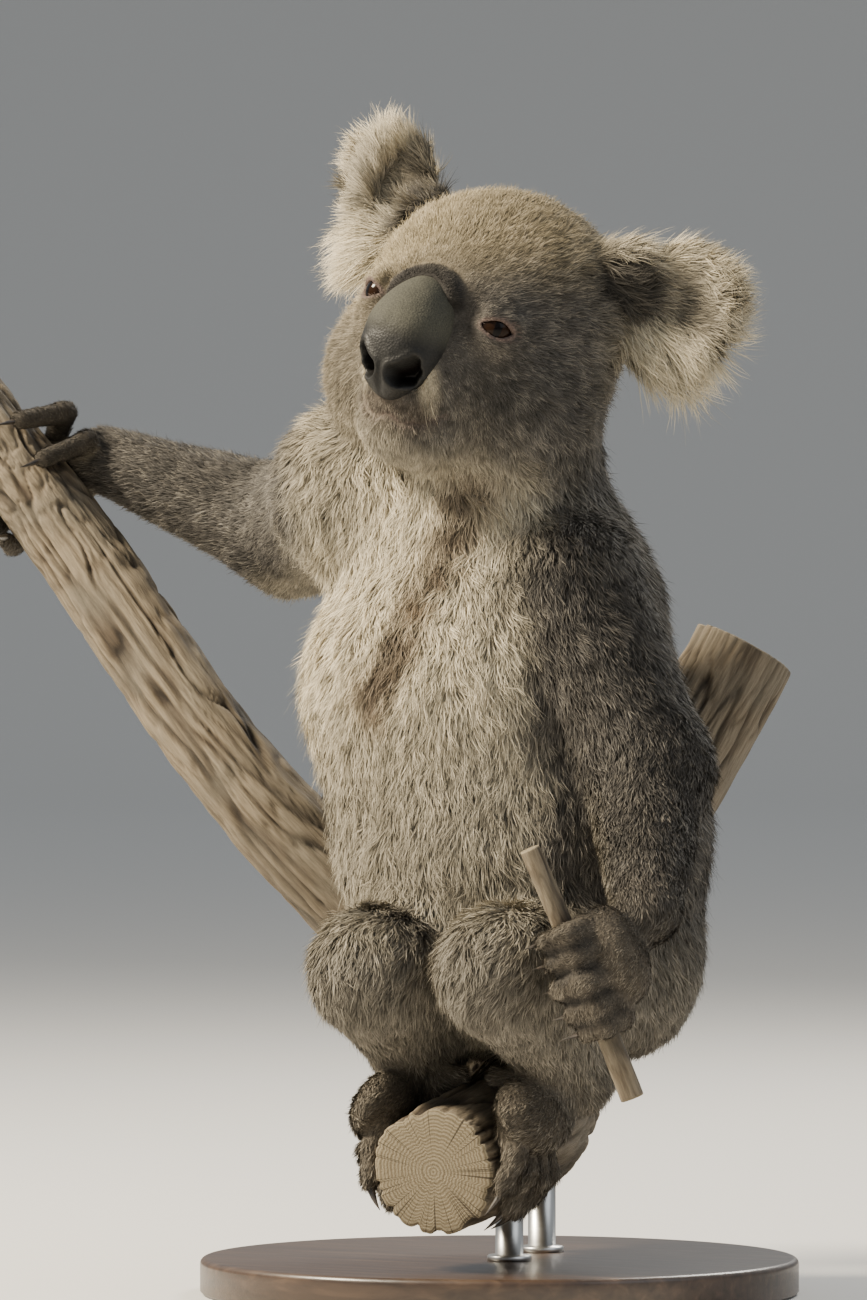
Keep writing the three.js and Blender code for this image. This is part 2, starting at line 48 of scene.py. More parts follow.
BASE_CENTRE = np.array([-8.0, 6.0])  # the koala is described in millimetres from its own centre line
BASE_RADIUS = 150.0
BASE_THICKNESS = 18.0
BASE_EDGE = 3.0
ROD_RADIUS = 7.0
ROD_PLACES = np.array([[-6.0, 46.0], [9.0, -14.0]])


def box_of(node):
    """The low and the high corner of a node's box in millimetres."""
    return np.array(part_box(node)) * 1000


SHIFT = np.append(box_of("stand_base").mean(0)[:2] - BASE_CENTRE, 0.0)


def mesh_object(name, points, faces, material, numbers=None, patches=None):
    """Puts points in millimetres and faces of three corners into one smooth mesh in the frame.
    numbers are named values for each point, and patches are the places of the points on a flat map."""
    mesh = bpy.data.meshes.new(name)
    mesh.vertices.add(len(points))
    mesh.vertices.foreach_set("co", ((points + SHIFT) / 1000).astype(np.float32).ravel())
    mesh.loops.add(faces.size)
    mesh.loops.foreach_set("vertex_index", faces.astype(np.int32).ravel())
    mesh.polygons.add(len(faces))
    mesh.polygons.foreach_set("loop_start", np.arange(0, faces.size, 3, dtype=np.int32))
    mesh.polygons.foreach_set("use_smooth", np.ones(len(faces), bool))
    for label, values in (numbers or {}).items():
        spread = mesh.attributes.new(label, "FLOAT_VECTOR", "POINT")
        spread.data.foreach_set("vector", values.astype(np.float32).ravel())
    if patches is not None:
        chart = mesh.uv_layers.new(name="OFBake")
        chart.data.foreach_set("uv", patches[faces.ravel()].astype(np.float32).ravel())
    mesh.update(calc_edges=True)
    mesh.materials.append(material)
    made = bpy.data.objects.new(name, mesh)
    bpy.context.scene.collection.objects.link(made)
    return made


def make_piece(name, points, faces, material, slot, numbers=None, patches=None):
    """A mesh that is a piece of the one body."""
    piece = mesh_object(name, points, faces, material, numbers, patches)
    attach(piece, "root")
    return piece


def closed_rings(rings):
    """Points and faces of a row of closed rings (rows, columns, 3) that run anticlockwise round their path,
    with a fan to the middle of the first ring and of the last."""
    rows, columns, _ = rings.shape
    points = np.concatenate([rings.reshape(-1, 3), rings[:1].mean(1), rings[-1:].mean(1)])
    around = np.arange(columns)
    after = (around + 1) % columns
    start = np.arange(rows - 1)[:, None] * columns
    a, b = (start + around).ravel(), (start + after).ravel()
    first_middle = np.full(columns, rows * columns)
    last = (rows - 1) * columns
    faces = np.concatenate([np.stack(three, 1) for three in (
        (a, b, b + columns), (a, b + columns, a + columns), (first_middle, after, around),
        (first_middle + 1, last + around, last + after))])
    return points, faces


def stacked(*parts):
    """Points from their parts x, y and z, each spread over the others' rows and columns."""
    return np.stack(np.broadcast_arrays(*parts), -1)


def round_turn(columns):
    """The cosines and sines of angles evenly round a full turn."""
    angle = np.linspace(0, 2 * np.pi, columns, endpoint=False)
    return np.cos(angle), np.sin(angle)


def turned(profile, centre, columns):
    """A profile of (radius, height) pairs carried round an upright axis through centre."""
    radius, height = profile[:, :1], profile[:, 1:]
    cosine, sine = round_turn(columns)
    return closed_rings(stacked(centre[0] + radius * cosine, centre[1] + radius * sine, height))


def new_material(name, **plain):
    """A material whose Principled shader takes the plain numbers given."""
    made = bpy.data.materials.new(name)
    made.use_nodes = True
    shader = made.node_tree.nodes["Principled BSDF"]
    for socket, value in plain.items():
        shader.inputs[socket.replace("_", " ")].default_value = value
    return made, made.node_tree, shader


def add_node(tree, kind, inputs=None, **settings):
    """A shader node with its settings. inputs gives a value or another node's output for each socket."""
    made = tree.nodes.new("ShaderNode" + kind)
    for key, value in settings.items():
        setattr(made, key, value)
    for socket, value in (inputs or {}).items():
        if isinstance(value, bpy.types.NodeSocket):
            tree.links.new(value, made.inputs[socket])
        else:
            made.inputs[socket].default_value = value
    return made


def ramp_of(tree, factor, *stops):
    """A colour ramp through (place, colour) stops: the first, the last, then those between."""
    ramp = add_node(tree, "ValToRGB", {"Fac": factor})
    for at, (place, colour) in enumerate(stops):
        stop = ramp.color_ramp.elements[at] if at < 2 else ramp.color_ramp.elements.new(place)
        stop.position = place
        stop.color = (*colour, 1.0)
    return ramp.outputs["Color"]


def object_place(tree):
    """The place of a point in the piece."""
    return add_node(tree, "TexCoord").outputs["Object"]


def stretched(tree, place, *scale):
    """A place with its three parts scaled, so that a pattern runs long where the scale is small."""
    return add_node(tree, "Mapping", {"Vector": place, "Scale": scale}).outputs["Vector"]


def noise(tree, place, scale, detail, **more):
    """Smooth random values from 0 to 1 at a place."""
    made = add_node(tree, "TexNoise", {"Vector": place, "Scale": scale, "Detail": detail, **more})
    return made.outputs["Fac"]


def spread_over(tree, value, to_low, to_high, low=0, high=1):
    """A value that runs from low to high, spread from to_low to to_high and kept within them."""
    return add_node(tree, "MapRange", {"Value": value, "From Min": low, "From Max": high,
                                       "To Min": to_low, "To Max": to_high}).outputs["Result"]


def bump(tree, height, strength, distance):
    return add_node(tree, "Bump", {
        "Strength": strength, "Distance": distance, "Height": height}).outputs["Normal"]


def feed(tree, shader, **outputs):
    """Links outputs of nodes to the shader's sockets."""
    for socket, output in outputs.items():
        tree.links.new(output, shader.inputs[socket.replace("_", " ")])


edge = np.linspace(0, np.pi / 2, 7)
base_profile = np.concatenate([
    [[20.0, 0.0], [BASE_RADIUS - 1.5, 0.0], [BASE_RADIUS, 1.5]],
    np.stack([BASE_RADIUS - BASE_EDGE + BASE_EDGE * np.cos(edge),
              BASE_THICKNESS - BASE_EDGE + BASE_EDGE * np.sin(edge)], 1),
    [[20.0, BASE_THICKNESS]],
])
base_wood, tree, shader = new_material("base_wood", Coat_Weight=0.35, Coat_Roughness=0.25)
long_grain = stretched(tree, object_place(tree), 9, 160, 160)
figure = noise(tree, long_grain, 1, 6, Distortion=0.6)
pores = noise(tree, long_grain, 7, 3)
feed(tree, shader, Roughness=spread_over(tree, pores, 0.32, 0.5), Normal=bump(tree, pores, 0.2, 0.0004),
     Base_Color=ramp_of(tree, figure, (0.3, (0.028, 0.016, 0.010)), (0.72, (0.085, 0.052, 0.032)),
                        (0.55, (0.055, 0.032, 0.020))))
base = make_piece("base_disc", *turned(base_profile, BASE_CENTRE, 160), base_wood, "base_wood")
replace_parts(base, "stand_base")

rod_steel, tree, shader = new_material("rod_steel", Metallic=1.0, Base_Color=(0.56, 0.56, 0.55, 1.0))
turning_lines = noise(tree, stretched(tree, object_place(tree), 60, 60, 4000), 1, 2)
feed(tree, shader, Roughness=spread_over(tree, turning_lines, 0.24, 0.42))
for number, spot in enumerate(ROD_PLACES, 1):
    foot, top = box_of(f"stand_rod_{number}")[:, 2]
    collar = np.array([
        [11.0, 0.0], [11.0, 2.4], [10.2, 3.0], [ROD_RADIUS, 3.2],
        [ROD_RADIUS, top - foot - 4.0], [ROD_RADIUS, top - foot + 1.5],
    ])
    rod = make_piece(f"steel_rod_{number}", *turned(collar + [0, foot - 0.3], spot, 48), rod_steel, "steel")
    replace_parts(rod, f"stand_rod_{number}")

# ---------------------------------------------------------------- cut branch
# A short length of a forked gum branch: a thick log under the animal, a limb that rises to its right
# hand and a sawn stump behind it. Grey-brown bark with long wavy furrows and pale sawn ends.

LOG = ([[-20, 70, 108], [6, 0, 84], [20, -108, 68]], [34, 34, 31])
LIMB = ([[-30, 62, 118], [-156, 14, 248], [-267, 9, 382], [-325, -6, 458]], [30, 24, 22, 21])
STUMP = ([[-8, 74, 120], [14, 104, 214], [57, 146, 322]], [30, 28, 27])
TWIG = ([[93, -142, 226], [113, -125, 166], [132, -112, 108]], [5, 5.5, 6])
FURROW, TWIG_FURROW = 2.2, 0.35  # how deep the furrows of the bark are


def unit(v):
    return v / np.linalg.norm(v, axis=-1, keepdims=True)


def smooth_noise(points, size, seed):
    """Random numbers at the corners of cubes of one size, blended smoothly between them, from -1 to 1."""
    spot = points / size + 0.37 * seed
    cell = np.floor(spot).astype(np.int64)
    share = spot - cell
    share = share * share * (3 - 2 * share)
    total = np.zeros(len(points))
    for corner in np.ndindex(2, 2, 2):
        at = cell + corner
        code = at[:, 0] * 374761393 + at[:, 1] * 668265263 + at[:, 2] * 2147483647 + seed * 974634777
        code = (code ^ (code >> 13)) * 1274126177
        value = ((code ^ (code >> 16)) & 0xFFFF) / 32767.5 - 1
        total += value * np.prod(np.where(corner, share, 1 - share), 1)
    return total


def curve_through(path, shares):
    """The smooth curve through a few points, at shares from 0 to 1. Each stretch is a cubic whose slopes
    at its ends weigh the neighbouring points by the square roots of their distances."""
    path = np.asarray(path, float)
    full = np.concatenate([[2 * path[0] - path[1]], path, [2 * path[-1] - path[-2]]])
    place = np.clip(np.asarray(shares, float), 0, 1) * (len(path) - 1)
    at = np.minimum(place.astype(int), len(path) - 2)
    t = (place - at)[:, None]
    p0, p1, p2, p3 = (full[at + k] for k in range(4))
    d0, d1, d2 = (np.sqrt(np.linalg.norm(b - a, axis=1))[:, None] for a, b in ((p0, p1), (p1, p2), (p2, p3)))
    m1 = ((p1 - p0) / d0 - (p2 - p0) / (d0 + d1) + (p2 - p1) / d1) * d1
    m2 = ((p2 - p1) / d1 - (p3 - p1) / (d1 + d2) + (p3 - p2) / d2) * d1
    return p1 + m1 * t + (-3 * p1 + 3 * p2 - 2 * m1 - m2) * t**2 + (2 * p1 - 2 * p2 + m1 + m2) * t**3


def branch(path, radii, columns, step, furrow, seed):
    """A round length along a curve, its radius changing from point to point. Its cracks are narrow bells
    exp(-(noise / width)^2) of a noise drawn out along it, and each end closes with a flat sawn disc."""
    length = np.linalg.norm(np.diff(np.asarray(path, float), axis=0), axis=1).sum()
    along = np.linspace(0, 1, int(length / step))
    spine = curve_through(path, along)
    heading = unit(np.gradient(spine, axis=0))
    aside = unit(np.cross(heading, np.array([0.31, 0.93, -0.2])))
    above = np.cross(heading, aside)
    cosine, sine = round_turn(columns)
    radius = np.interp(along, np.linspace(0, 1, len(radii)), radii)[:, None]
    grain = stacked(radius * cosine, radius * sine, (along * length)[:, None])
    flat = grain.reshape(-1, 3)
    bend = np.stack([smooth_noise(flat * [1, 1, 0.5], 16, seed + k) for k in (1, 2)], 1) * 5
    drawn = np.concatenate([flat[:, :2] + bend, flat[:, 2:] * 0.16], 1)
    ridges, fine = (1 - 2 * np.exp(-((smooth_noise(drawn, size, seed + late) / width) ** 2))
                    for size, late, width in ((8, 3, 0.16), (3.2, 4, 0.2)))
    swell = 0.6 * smooth_noise(flat * [1, 1, 0.5], 26, seed + 5) + 0.4 * smooth_noise(flat, 9, seed + 6)
    relief = (0.5 * ridges + 0.2 * fine + 0.6 * swell - 0.6).reshape(grain.shape[:2]) * furrow
    out = aside[:, None] * cosine[:, None] + above[:, None] * sine[:, None]
    rings = spine[:, None] + out * (radius + relief)[..., None]
    colour = stacked(0.65 * ridges + 0.35 * fine, swell, 0.0).reshape(grain.shape)
    shrink = np.array([0.985, 0.95, 0.9, 0.7, 0.45, 0.2, 0.04])[:, None, None]
    step_out = np.array([0.5, 0.9, 1.0, 1.0, 1.0, 1.0, 1.0])[:, None, None]
    near, far = ((
        spine[end] + (rings[end] - spine[end]) * shrink + heading[end] * side * step_out,
        grain[end] * shrink,
        np.broadcast_to([0.0, 0.0, 1.0], (len(shrink), columns, 3)),
    ) for end, side in ((0, -1), (-1, 1)))
    rings, grain, colour = (np.concatenate([first[::-1], along_it, last]) for first, along_it, last in zip(
        near, (rings, grain, colour), far))
    points, faces = closed_rings(rings)
    return points, faces, {"grain": closed_rings(grain)[0], "relief": closed_rings(colour)[0]}


def mixed(tree, factor, first, second, way="MIX"):
    """A colour between two, each given as a colour or as a node's output, or their product."""
    first, second = ((*tone, 1.0) if isinstance(tone, tuple) else tone for tone in (first, second))
    return add_node(tree, "Mix", {"Factor": factor, 6: first, 7: second},
                    data_type="RGBA", blend_type=way).outputs[2]


def carried(tree, label):
    """The three numbers that a piece carries at each point under a name."""
    return add_node(tree, "Attribute", attribute_name=label).outputs["Vector"]


def parts_of(tree, vector):
    """The three parts of a vector, as outputs X, Y and Z."""
    return add_node(tree, "SeparateXYZ", {"Vector": vector}).outputs


def maths(tree, operation, *values):
    """A sum, product or other operation on single values."""
    return add_node(tree, "Math", dict(enumerate(values)), operation=operation).outputs["Value"]


def vector_math(tree, operation, vector):
    """The length, a number, or the direction, a vector, of a vector."""
    made = add_node(tree, "VectorMath", {0: vector}, operation=operation)
    return made.outputs["Value" if operation == "LENGTH" else "Vector"]


bark, tree, shader = new_material("bark", Specular_IOR_Level=0.3)
grain_place = carried(tree, "grain")
relief = parts_of(tree, carried(tree, "relief"))
blotches = noise(tree, grain_place, 0.035, 5)
fibres = noise(tree, stretched(tree, grain_place, 1, 1, 0.12), 0.9, 5, Roughness=0.65)
# Darker in the furrows than on the ridges: partly the bark's own colour, partly painted shade in the furrows.
furrows_shaded = ramp_of(tree, spread_over(tree, relief["X"], 0, 1, -0.9, 0.95), (0, (0.026, 0.019, 0.013)),
                   (1, (0.27, 0.222, 0.155)), (0.4, (0.085, 0.064, 0.043)), (0.75, (0.19, 0.152, 0.104)))
weathered = mixed(tree, spread_over(tree, blotches, 0, 0.7, 0.4, 0.7), furrows_shaded, (0.205, 0.182, 0.140))
fibre_shade = ramp_of(tree, fibres, (0.3, (0.45, 0.42, 0.4)), (0.7, (1, 1, 1)))
streaked = mixed(tree, 0.75, weathered, fibre_shade, "MULTIPLY")
across_grain = stretched(tree, grain_place, 1, 1, 0)
ring_radius = vector_math(tree, "LENGTH", across_grain)
ring_turn = maths(tree, "ADD", maths(tree, "MULTIPLY", blotches, 9),
                  maths(tree, "MULTIPLY", ring_radius, 3.4))
year_rings = ramp_of(tree, spread_over(tree, maths(tree, "SINE", ring_turn), 0, 1, -1, 1),
                     (0, (0.17, 0.135, 0.085)), (1, (0.31, 0.26, 0.175)))
spokes = noise(tree, vector_math(tree, "NORMALIZE", across_grain), 5, 2, Distortion=0.3)
split = maths(tree, "MULTIPLY", maths(tree, "COMPARE", spokes, 0.52, 0.012),
             spread_over(tree, ring_radius, 0, 0.8, 4, 20))
sawn_colour = mixed(tree, split, year_rings, (0.035, 0.026, 0.018))
feed(tree, shader, Base_Color=mixed(tree, relief["Z"], streaked, sawn_colour),
     Roughness=spread_over(tree, fibres, 0.7, 0.98), Normal=bump(tree, fibres, 0.8, 0.0012))

for name, (path, radii), *cut in (
    ("log", LOG, 200, 1.5, FURROW, 3), ("limb", LIMB, 144, 1.7, FURROW, 11),
    ("stump", STUMP, 180, 1.6, FURROW, 23), ("twig", TWIG, 48, 0.8, TWIG_FURROW, 31),
):
    points, faces, numbers = branch(path, radii, *cut)
    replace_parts(make_piece(f"bark_{name}", points, faces, bark, "bark", numbers), f"perch_{name}")

# ---------------------------------------------------------------- flesh under the coat
# One closed skin for the whole animal, without a seam: trunk, neck, head, ears, arms, legs, hands and feet
# are soft masses and tapering lengths that flow into each other, and lie inside the coat by its depth.

HEAD_CENTRE = np.array([5.0, -36.0, 478.0])
HEAD_AXES = np.array([  # left, front and up
    [0.958, 0.003, -0.2835], [0.048, -0.987, 0.1545], [0.28, 0.161, 0.946]])


def both(left, right):
    return {"left": np.array(left, float), "right": np.array(right, float)}


SIDES = {"left": 1.0, "right": -1.0}
SHOULDER = both([50, -33, 352], [-68, -27, 402])
ELBOW = both([97, -34, 262], [-147, 36, 384])
WRIST = both([132, -97, 197], [-261, 37, 421])
HIP = both([60, 2, 160], [-27, 2, 158])
KNEE = both([57, -104, 166], [-17, -100, 164])
ANKLE = both([60, -38, 112], [-26, -38, 113])
PALM = both([126, -117, 176], [-287, 35, 408])
SOLE = both([56, -72, 96], [-26, -72, 98])
EAR_PLACE = both([86, -23, 41], [-84, -23, 48])
EAR_CORNER = both([8, 0, 8], [-12, 0, 17])
EAR_DISH = both([0, 0, 3], [13, 0, 9])
EYE_PLACE = both([32.3, 47, 3], [-32.3, 47, 3])
EYE_RADIUS = 9.5
NOSE_PLACE = np.array([-2.5, 64.0, -14.5])
NOSE_SIZE = np.array([22.5, 20.0, 32.5])


def in_head(left, front, up):
    """A place given left, front and up of the head's centre."""
    return HEAD_CENTRE + np.array([left, front, up]) @ HEAD_AXES


def head_parts(points):
    """How far points are left, front and up of the head's centre."""
    return ((points - HEAD_CENTRE) @ HEAD_AXES.T).T


def mass(centre, size, axes=np.eye(3)):
    """An egg-shaped mass: how far a point is outside it, from its half sizes along its three axes."""
    centre, size = np.array(centre, float), np.array(size, float)

    def distance(points):
        local = (points - centre) @ axes.T
        near = np.sqrt(((local / size) ** 2).sum(1))
        steep = np.sqrt(((local / size**2) ** 2).sum(1))
        return near * (near - 1) / np.maximum(steep, 1e-6)

    return distance, centre - size.max(), centre + size.max()


def head_mass(place, size):
    return mass(in_head(*place), size, HEAD_AXES)


def bone(start, end, start_radius, end_radius):
    """A round length that tapers evenly between two joints: how far a point is outside it."""
    start, end = np.array(start, float), np.array(end, float)
    along = end - start

    def distance(points):
        share = np.clip((points - start) @ along / (along @ along), 0, 1)
        away = points - start - share[:, None] * along
        return np.sqrt((away**2).sum(1)) - (start_radius + share * (end_radius - start_radius))

    radius = max(start_radius, end_radius)
    return distance, np.minimum(start, end) - radius, np.maximum(start, end) + radius


def soft_least(a, b, soft):
    """The lesser of two distances, rounded off where they are nearly the same."""
    near = np.maximum(soft - np.abs(a - b), 0) / soft
    return np.minimum(a, b) - near * near * soft * 0.25


DIGIT_PRESS = 1.5  # how far a digit's underside presses into the wood
DIGIT_TAPER = 0.85  # a digit's thickness at its tip, as a share of that at its root
COAT_ON_DIGITS = 1.8


def digits_of(held, grip_radius, palm, knuckle, digits):
    """The joints of digits bent round a length of wood: each starts at an angle from the palm, turns as far
    as it reaches and leans along the wood. Returns them with thickness and claw, and the palm's axes."""
    shares = np.linspace(0, 1, 101)
    spine = curve_through(held[0], shares)
    near = np.linalg.norm(spine - palm, axis=1).argmin()
    axis = unit(spine[min(near + 1, 100)] - spine[max(near - 1, 0)])
    out = palm - spine[near]
    towards = unit(out - axis * (out @ axis))
    across = unit(np.cross(axis, towards))
    made = []
    for along, start, turn, lean, thick, claw in digits:
        def spot(share, lift):
            angle = start + turn * share
            outward = towards * np.cos(angle) + across * np.sin(angle)
            return spine[near] + axis * (along + lean * share) + outward * (grip_radius + lift)
        lift = thick - DIGIT_PRESS
        joints = [spot(0, lift), spot(0.45, lift + knuckle), spot(1, lift)]
        root = palm + (joints[0] - palm) * 0.35 + towards
        made.append((np.array([root, *joints]), thick, claw, spot(0.85, thick - 1)))
    return made, np.array([axis, across, towards])


GRIPS = {
    "left_hand": (TWIG, 5.5, PALM["left"], [25, 19, 14.5], WRIST["left"], 14, 3, [
        (-18, 0.5, 2.3, 0, 7.8, 1), (-7, 0.4, 2.5, 0, 7.8, 1), (6, 0.4, 2.6, 0, 9, 1),
        (19, 0.5, 2.3, 0, 8.5, 1), (29, 0.7, 1.9, 0, 7.5, 1)]),
    "right_hand": (LIMB, 22, PALM["right"], [20, 17, 11], WRIST["right"], 14, 9, [
        (17, -0.5, -1.6, 12, 7.5, 1), (1, -0.5, -1.7, 4, 7.5, 1), (18, 0.5, 1.6, 0, 7.5, 1),
        (3, 0.5, 1.7, 0, 7.5, 1), (-12, 0.6, 1.5, 0, 6.5, 1)]),
}
for side, sign in SIDES.items():
    GRIPS[f"{side}_foot"] = (LOG, 32, SOLE[side], [32, 20, 14], ANKLE[side], 17, 3, [
        (along, -sign * start, -sign * turn, lean, thick, claw) for along, start, turn, lean, thick, claw in (
            (-20, -0.25, -0.45, 0, 8, 0), (20, 0.1, 0.6, 16, 7.5, 1), (10, 0.3, 0.75, 12, 7.5, 1),
            (-3, 0.4, 0.8, 8, 7.5, 1), (-16, 0.45, 0.75, 0, 6.5, 1))])

# Each group holds its masses, how softly they flow together, and how deep the coat is over them.
flesh = {
    "trunk": ([
        mass([13, 6, 178], [83, 84, 60]), mass([8, 0, 228], [101, 90, 84]),
        mass([-8, -12, 302], [97, 83, 92]), mass([2, 32, 268], [80, 66, 112]),
        mass([-8, 22, 352], [76, 60, 56]), mass(SHOULDER["right"], [50, 48, 50]),
        mass([47, -24, 348], [42, 44, 46]), bone([-4, -10, 376], [4, -28, 444], 66, 58)], 26, 7),
    "head": ([
        head_mass([0, -10, 14], [68, 62, 63]), head_mass([33, 0, -28], [40, 50, 46]),
        head_mass([-33, 0, -28], [40, 50, 46]), head_mass([0, 36, 3], [46, 30, 33]),
        head_mass([0, 48, -28], [33, 28, 31]), head_mass([0, 38, -58], [29, 26, 20])], 16, 4.2),
}
ear_axes = {}
for side, sign in SIDES.items():
    facing = unit(np.array([sign * 0.3, 0.95, 0.1]) @ HEAD_AXES)
    across = unit(np.cross(facing, HEAD_AXES[2]))
    ear_axes[side] = np.array([across, facing, np.cross(across, facing)])
    pinna = in_head(*(EAR_PLACE[side] - [sign * 2, 0, 0]))
    flesh[f"{side}_ear"] = ([
        mass(pinna, [27, 5.5, 32 if sign > 0 else 34], ear_axes[side]),
        mass(in_head(*(EAR_PLACE[side] + EAR_CORNER[side])), [19, 5, 20], ear_axes[side]),
        bone(in_head(sign * 54, -18, 47 if sign > 0 else 43), pinna, 18, 7)], 9, 0)
    flesh[f"{side}_arm"] = ([
        bone(SHOULDER[side], ELBOW[side], 37.5, 29.5), bone(ELBOW[side], WRIST[side], 29.5, 16)], 14, 0)
    flesh[f"{side}_leg"] = ([
        bone(HIP[side], KNEE[side], 40, 29), bone(KNEE[side], ANKLE[side], 27.5, 18.5)], 14, 0)
claw_roots, shaded_clefts = [], []
for name, (held, grip_radius, palm, palm_size, wrist, cuff, knuckle, digits) in GRIPS.items():
    fingers, palm_axes = digits_of(held, grip_radius, palm, knuckle, digits)
    masses = [mass(palm, palm_size, palm_axes), bone(wrist, palm, cuff, 9)]
    for joints, thick, claw, before in fingers:
        slim = thick - COAT_ON_DIGITS
        masses += [bone(joints[0], joints[1], slim, slim), bone(joints[1], joints[2], slim, slim),
                   bone(joints[2], joints[3], slim, slim * DIGIT_TAPER)]
        if claw:
            claw_roots.append((joints[3], unit(joints[3] - before), palm_axes))
    for (near, _, _, _), (far, _, _, _), one, other in zip(fingers, fingers[1:], digits, digits[1:]):
        if one[1] * other[1] > 0 and one[5] and other[5]:
            middle = (near + far)[1:] / 2
            outward = unit(middle[1] - (middle[0] + middle[2]) / 2)
            shaded_clefts.append(middle + outward * 3.5)
    flesh[name] = (masses, 3, 0)


def graded(low, high, coarse, fine):
    """Grid lines from low to high, a coarse step apart, or closer in the stretches listed as fine."""
    lines = [low]
    while lines[-1] < high:
        step = min([coarse] + [s for start, end, s in fine if start - s < lines[-1] < end])
        lines.append(lines[-1] + step)
    return np.array(lines, np.float32)


def group_field(group, points):
    """How far points are outside the skin of a group, which lies inside its masses by its coat's depth."""
    masses, soft, depth = flesh[group]
    least = np.full(len(points), 60.0, points.dtype)
    for distance, _, _ in masses:
        least = soft_least(least, distance(points), soft)
    return least + depth


GRID = (
    graded(-334, 158, 4.4, [(-334, -236, 2.5), (-60, 150, 3.1), (-38, 58, 1.3)]),
    graded(-166, 132, 4.4, [(-166, 12, 3.1), (-116, -68, 1.3)]),
    graded(34, 604, 4.4, [(34, 208, 2.8), (378, 604, 3.1), (424, 514, 1.3)]),
)
values = np.full([len(lines) for lines in GRID], 40.0, np.float32)
JOINS = {"hand": 5.0, "foot": 5.0, "leg": 20.0}  # how softly these groups flow into the others, which take 9


def merge(distance, low, high, soft, sign=1):
    """Adds a field to the grid between two corners, or cuts it out where sign is -1, with a soft edge."""
    cut = tuple(slice(max(np.searchsorted(lines, a) - 1, 0), np.searchsorted(lines, b) + 1)
                for lines, a, b in zip(GRID, low, high))
    place = np.meshgrid(*(lines[part] for lines, part in zip(GRID, cut)), indexing="ij")
    new = distance(np.stack([part.ravel() for part in place], 1)).reshape(values[cut].shape)
    values[cut] = sign * soft_least(sign * values[cut], new.astype(np.float32), soft)


for group, (masses, soft, depth) in flesh.items():
    merge(lambda points: group_field(group, points), np.min([low for _, low, _ in masses], 0) - 12,
          np.max([high for _, _, high in masses], 0) + 12, JOINS.get(group.split("_")[-1], 9.0))


def front_of(left, up):
    """How far in front of the head's centre its skin is, at a place left and up of it."""
    steps = np.linspace(20, 100, 161)
    line = in_head(0, 0, 0) + np.stack([np.full(161, left), steps, np.full(161, up)], 1) @ HEAD_AXES
    return steps[np.argmax(group_field("head", line) > 0)]


def add_flesh(masses, soft, sign=1):
    for distance, low, high in masses:
        merge(distance, low - soft - 3, high + soft + 3, soft, sign)


# The dish of each ear, the lids with their almond openings, the mouth line and the wrinkle over the nose.
EYE_OPENING = (8.2, 3.9)
eye_axes = {}
for side, sign in SIDES.items():
    dish = in_head(*(EAR_PLACE[side] + EAR_DISH[side])) + ear_axes[side][1] * 8
    add_flesh([mass(dish, [21, 7, 25], ear_axes[side])], 4, -1)
    gaze = unit(np.array([sign * 0.62, 0.78, 0.04]) @ HEAD_AXES)
    corner = unit(np.cross(gaze, HEAD_AXES[2]) * -sign)
    eye_axes[side] = np.array([corner, np.cross(gaze, corner) * sign, gaze])
    eye = in_head(*EYE_PLACE[side])
    add_flesh([mass(eye, [EYE_RADIUS + 1.2] * 3)], 9)
    lid_in, lid_out, tear, crease = eye + np.array([
        [-7, 5.6, 7.2], [8, 5.2, 6.6], [-7, -0.8, 8.6], [-14, -4.2, 10.1]]) @ eye_axes[side]
    add_flesh([bone(lid_in, lid_out, 2.2, 2.0)], 4)
    add_flesh([head_mass([sign * 23, 66, 6], [7, 8, 11])], 9, -1)

    def opening(points, eye=eye, axes=eye_axes[side]):
        local = (points - eye) @ axes.T
        wide, high = EYE_OPENING
        lid = np.abs(local[:, 1] + 0.4) - high * (1 - (local[:, 0] / wide) ** 2)
        return np.maximum(lid, 3.0 - local[:, 2])

    add_flesh([(opening, eye - 16, eye + 16)], 1.0, -1)
    add_flesh([bone(tear, crease, 1.2, 0.7)], 1.2, -1)
mouth = [in_head(left, front_of(left, up) + 0.4, up) for left, up in (
    (-25, -44), (-16, -52), (-7, -55), (0, -52), (7, -55), (16, -52), (25, -44))]
add_flesh([bone(a, b, 1.1, 1.1) for a, b in zip(mouth, mouth[1:])], 1.6, -1)
fold = curve_through([in_head(left, front_of(left, up) + 0.2, up) for left, up in (
    (-21, 4), (-17, 11), (-10, 17), (-2.5, 19), (6, 17), (12, 10))], np.linspace(0, 1, 17))
add_flesh([bone(a, b, 1.9, 1.9) for a, b in zip(fold, fold[1:])], 6)
add_flesh([head_mass(NOSE_PLACE, NOSE_SIZE * [0.80, 0.9, 0.84])], 1.0, -1)
for sign in SIDES.values():
    add_flesh([head_mass(NOSE_PLACE + [sign * 11, 1, -15.5], [7.2, 14, 8.5])], 1.0, -1)


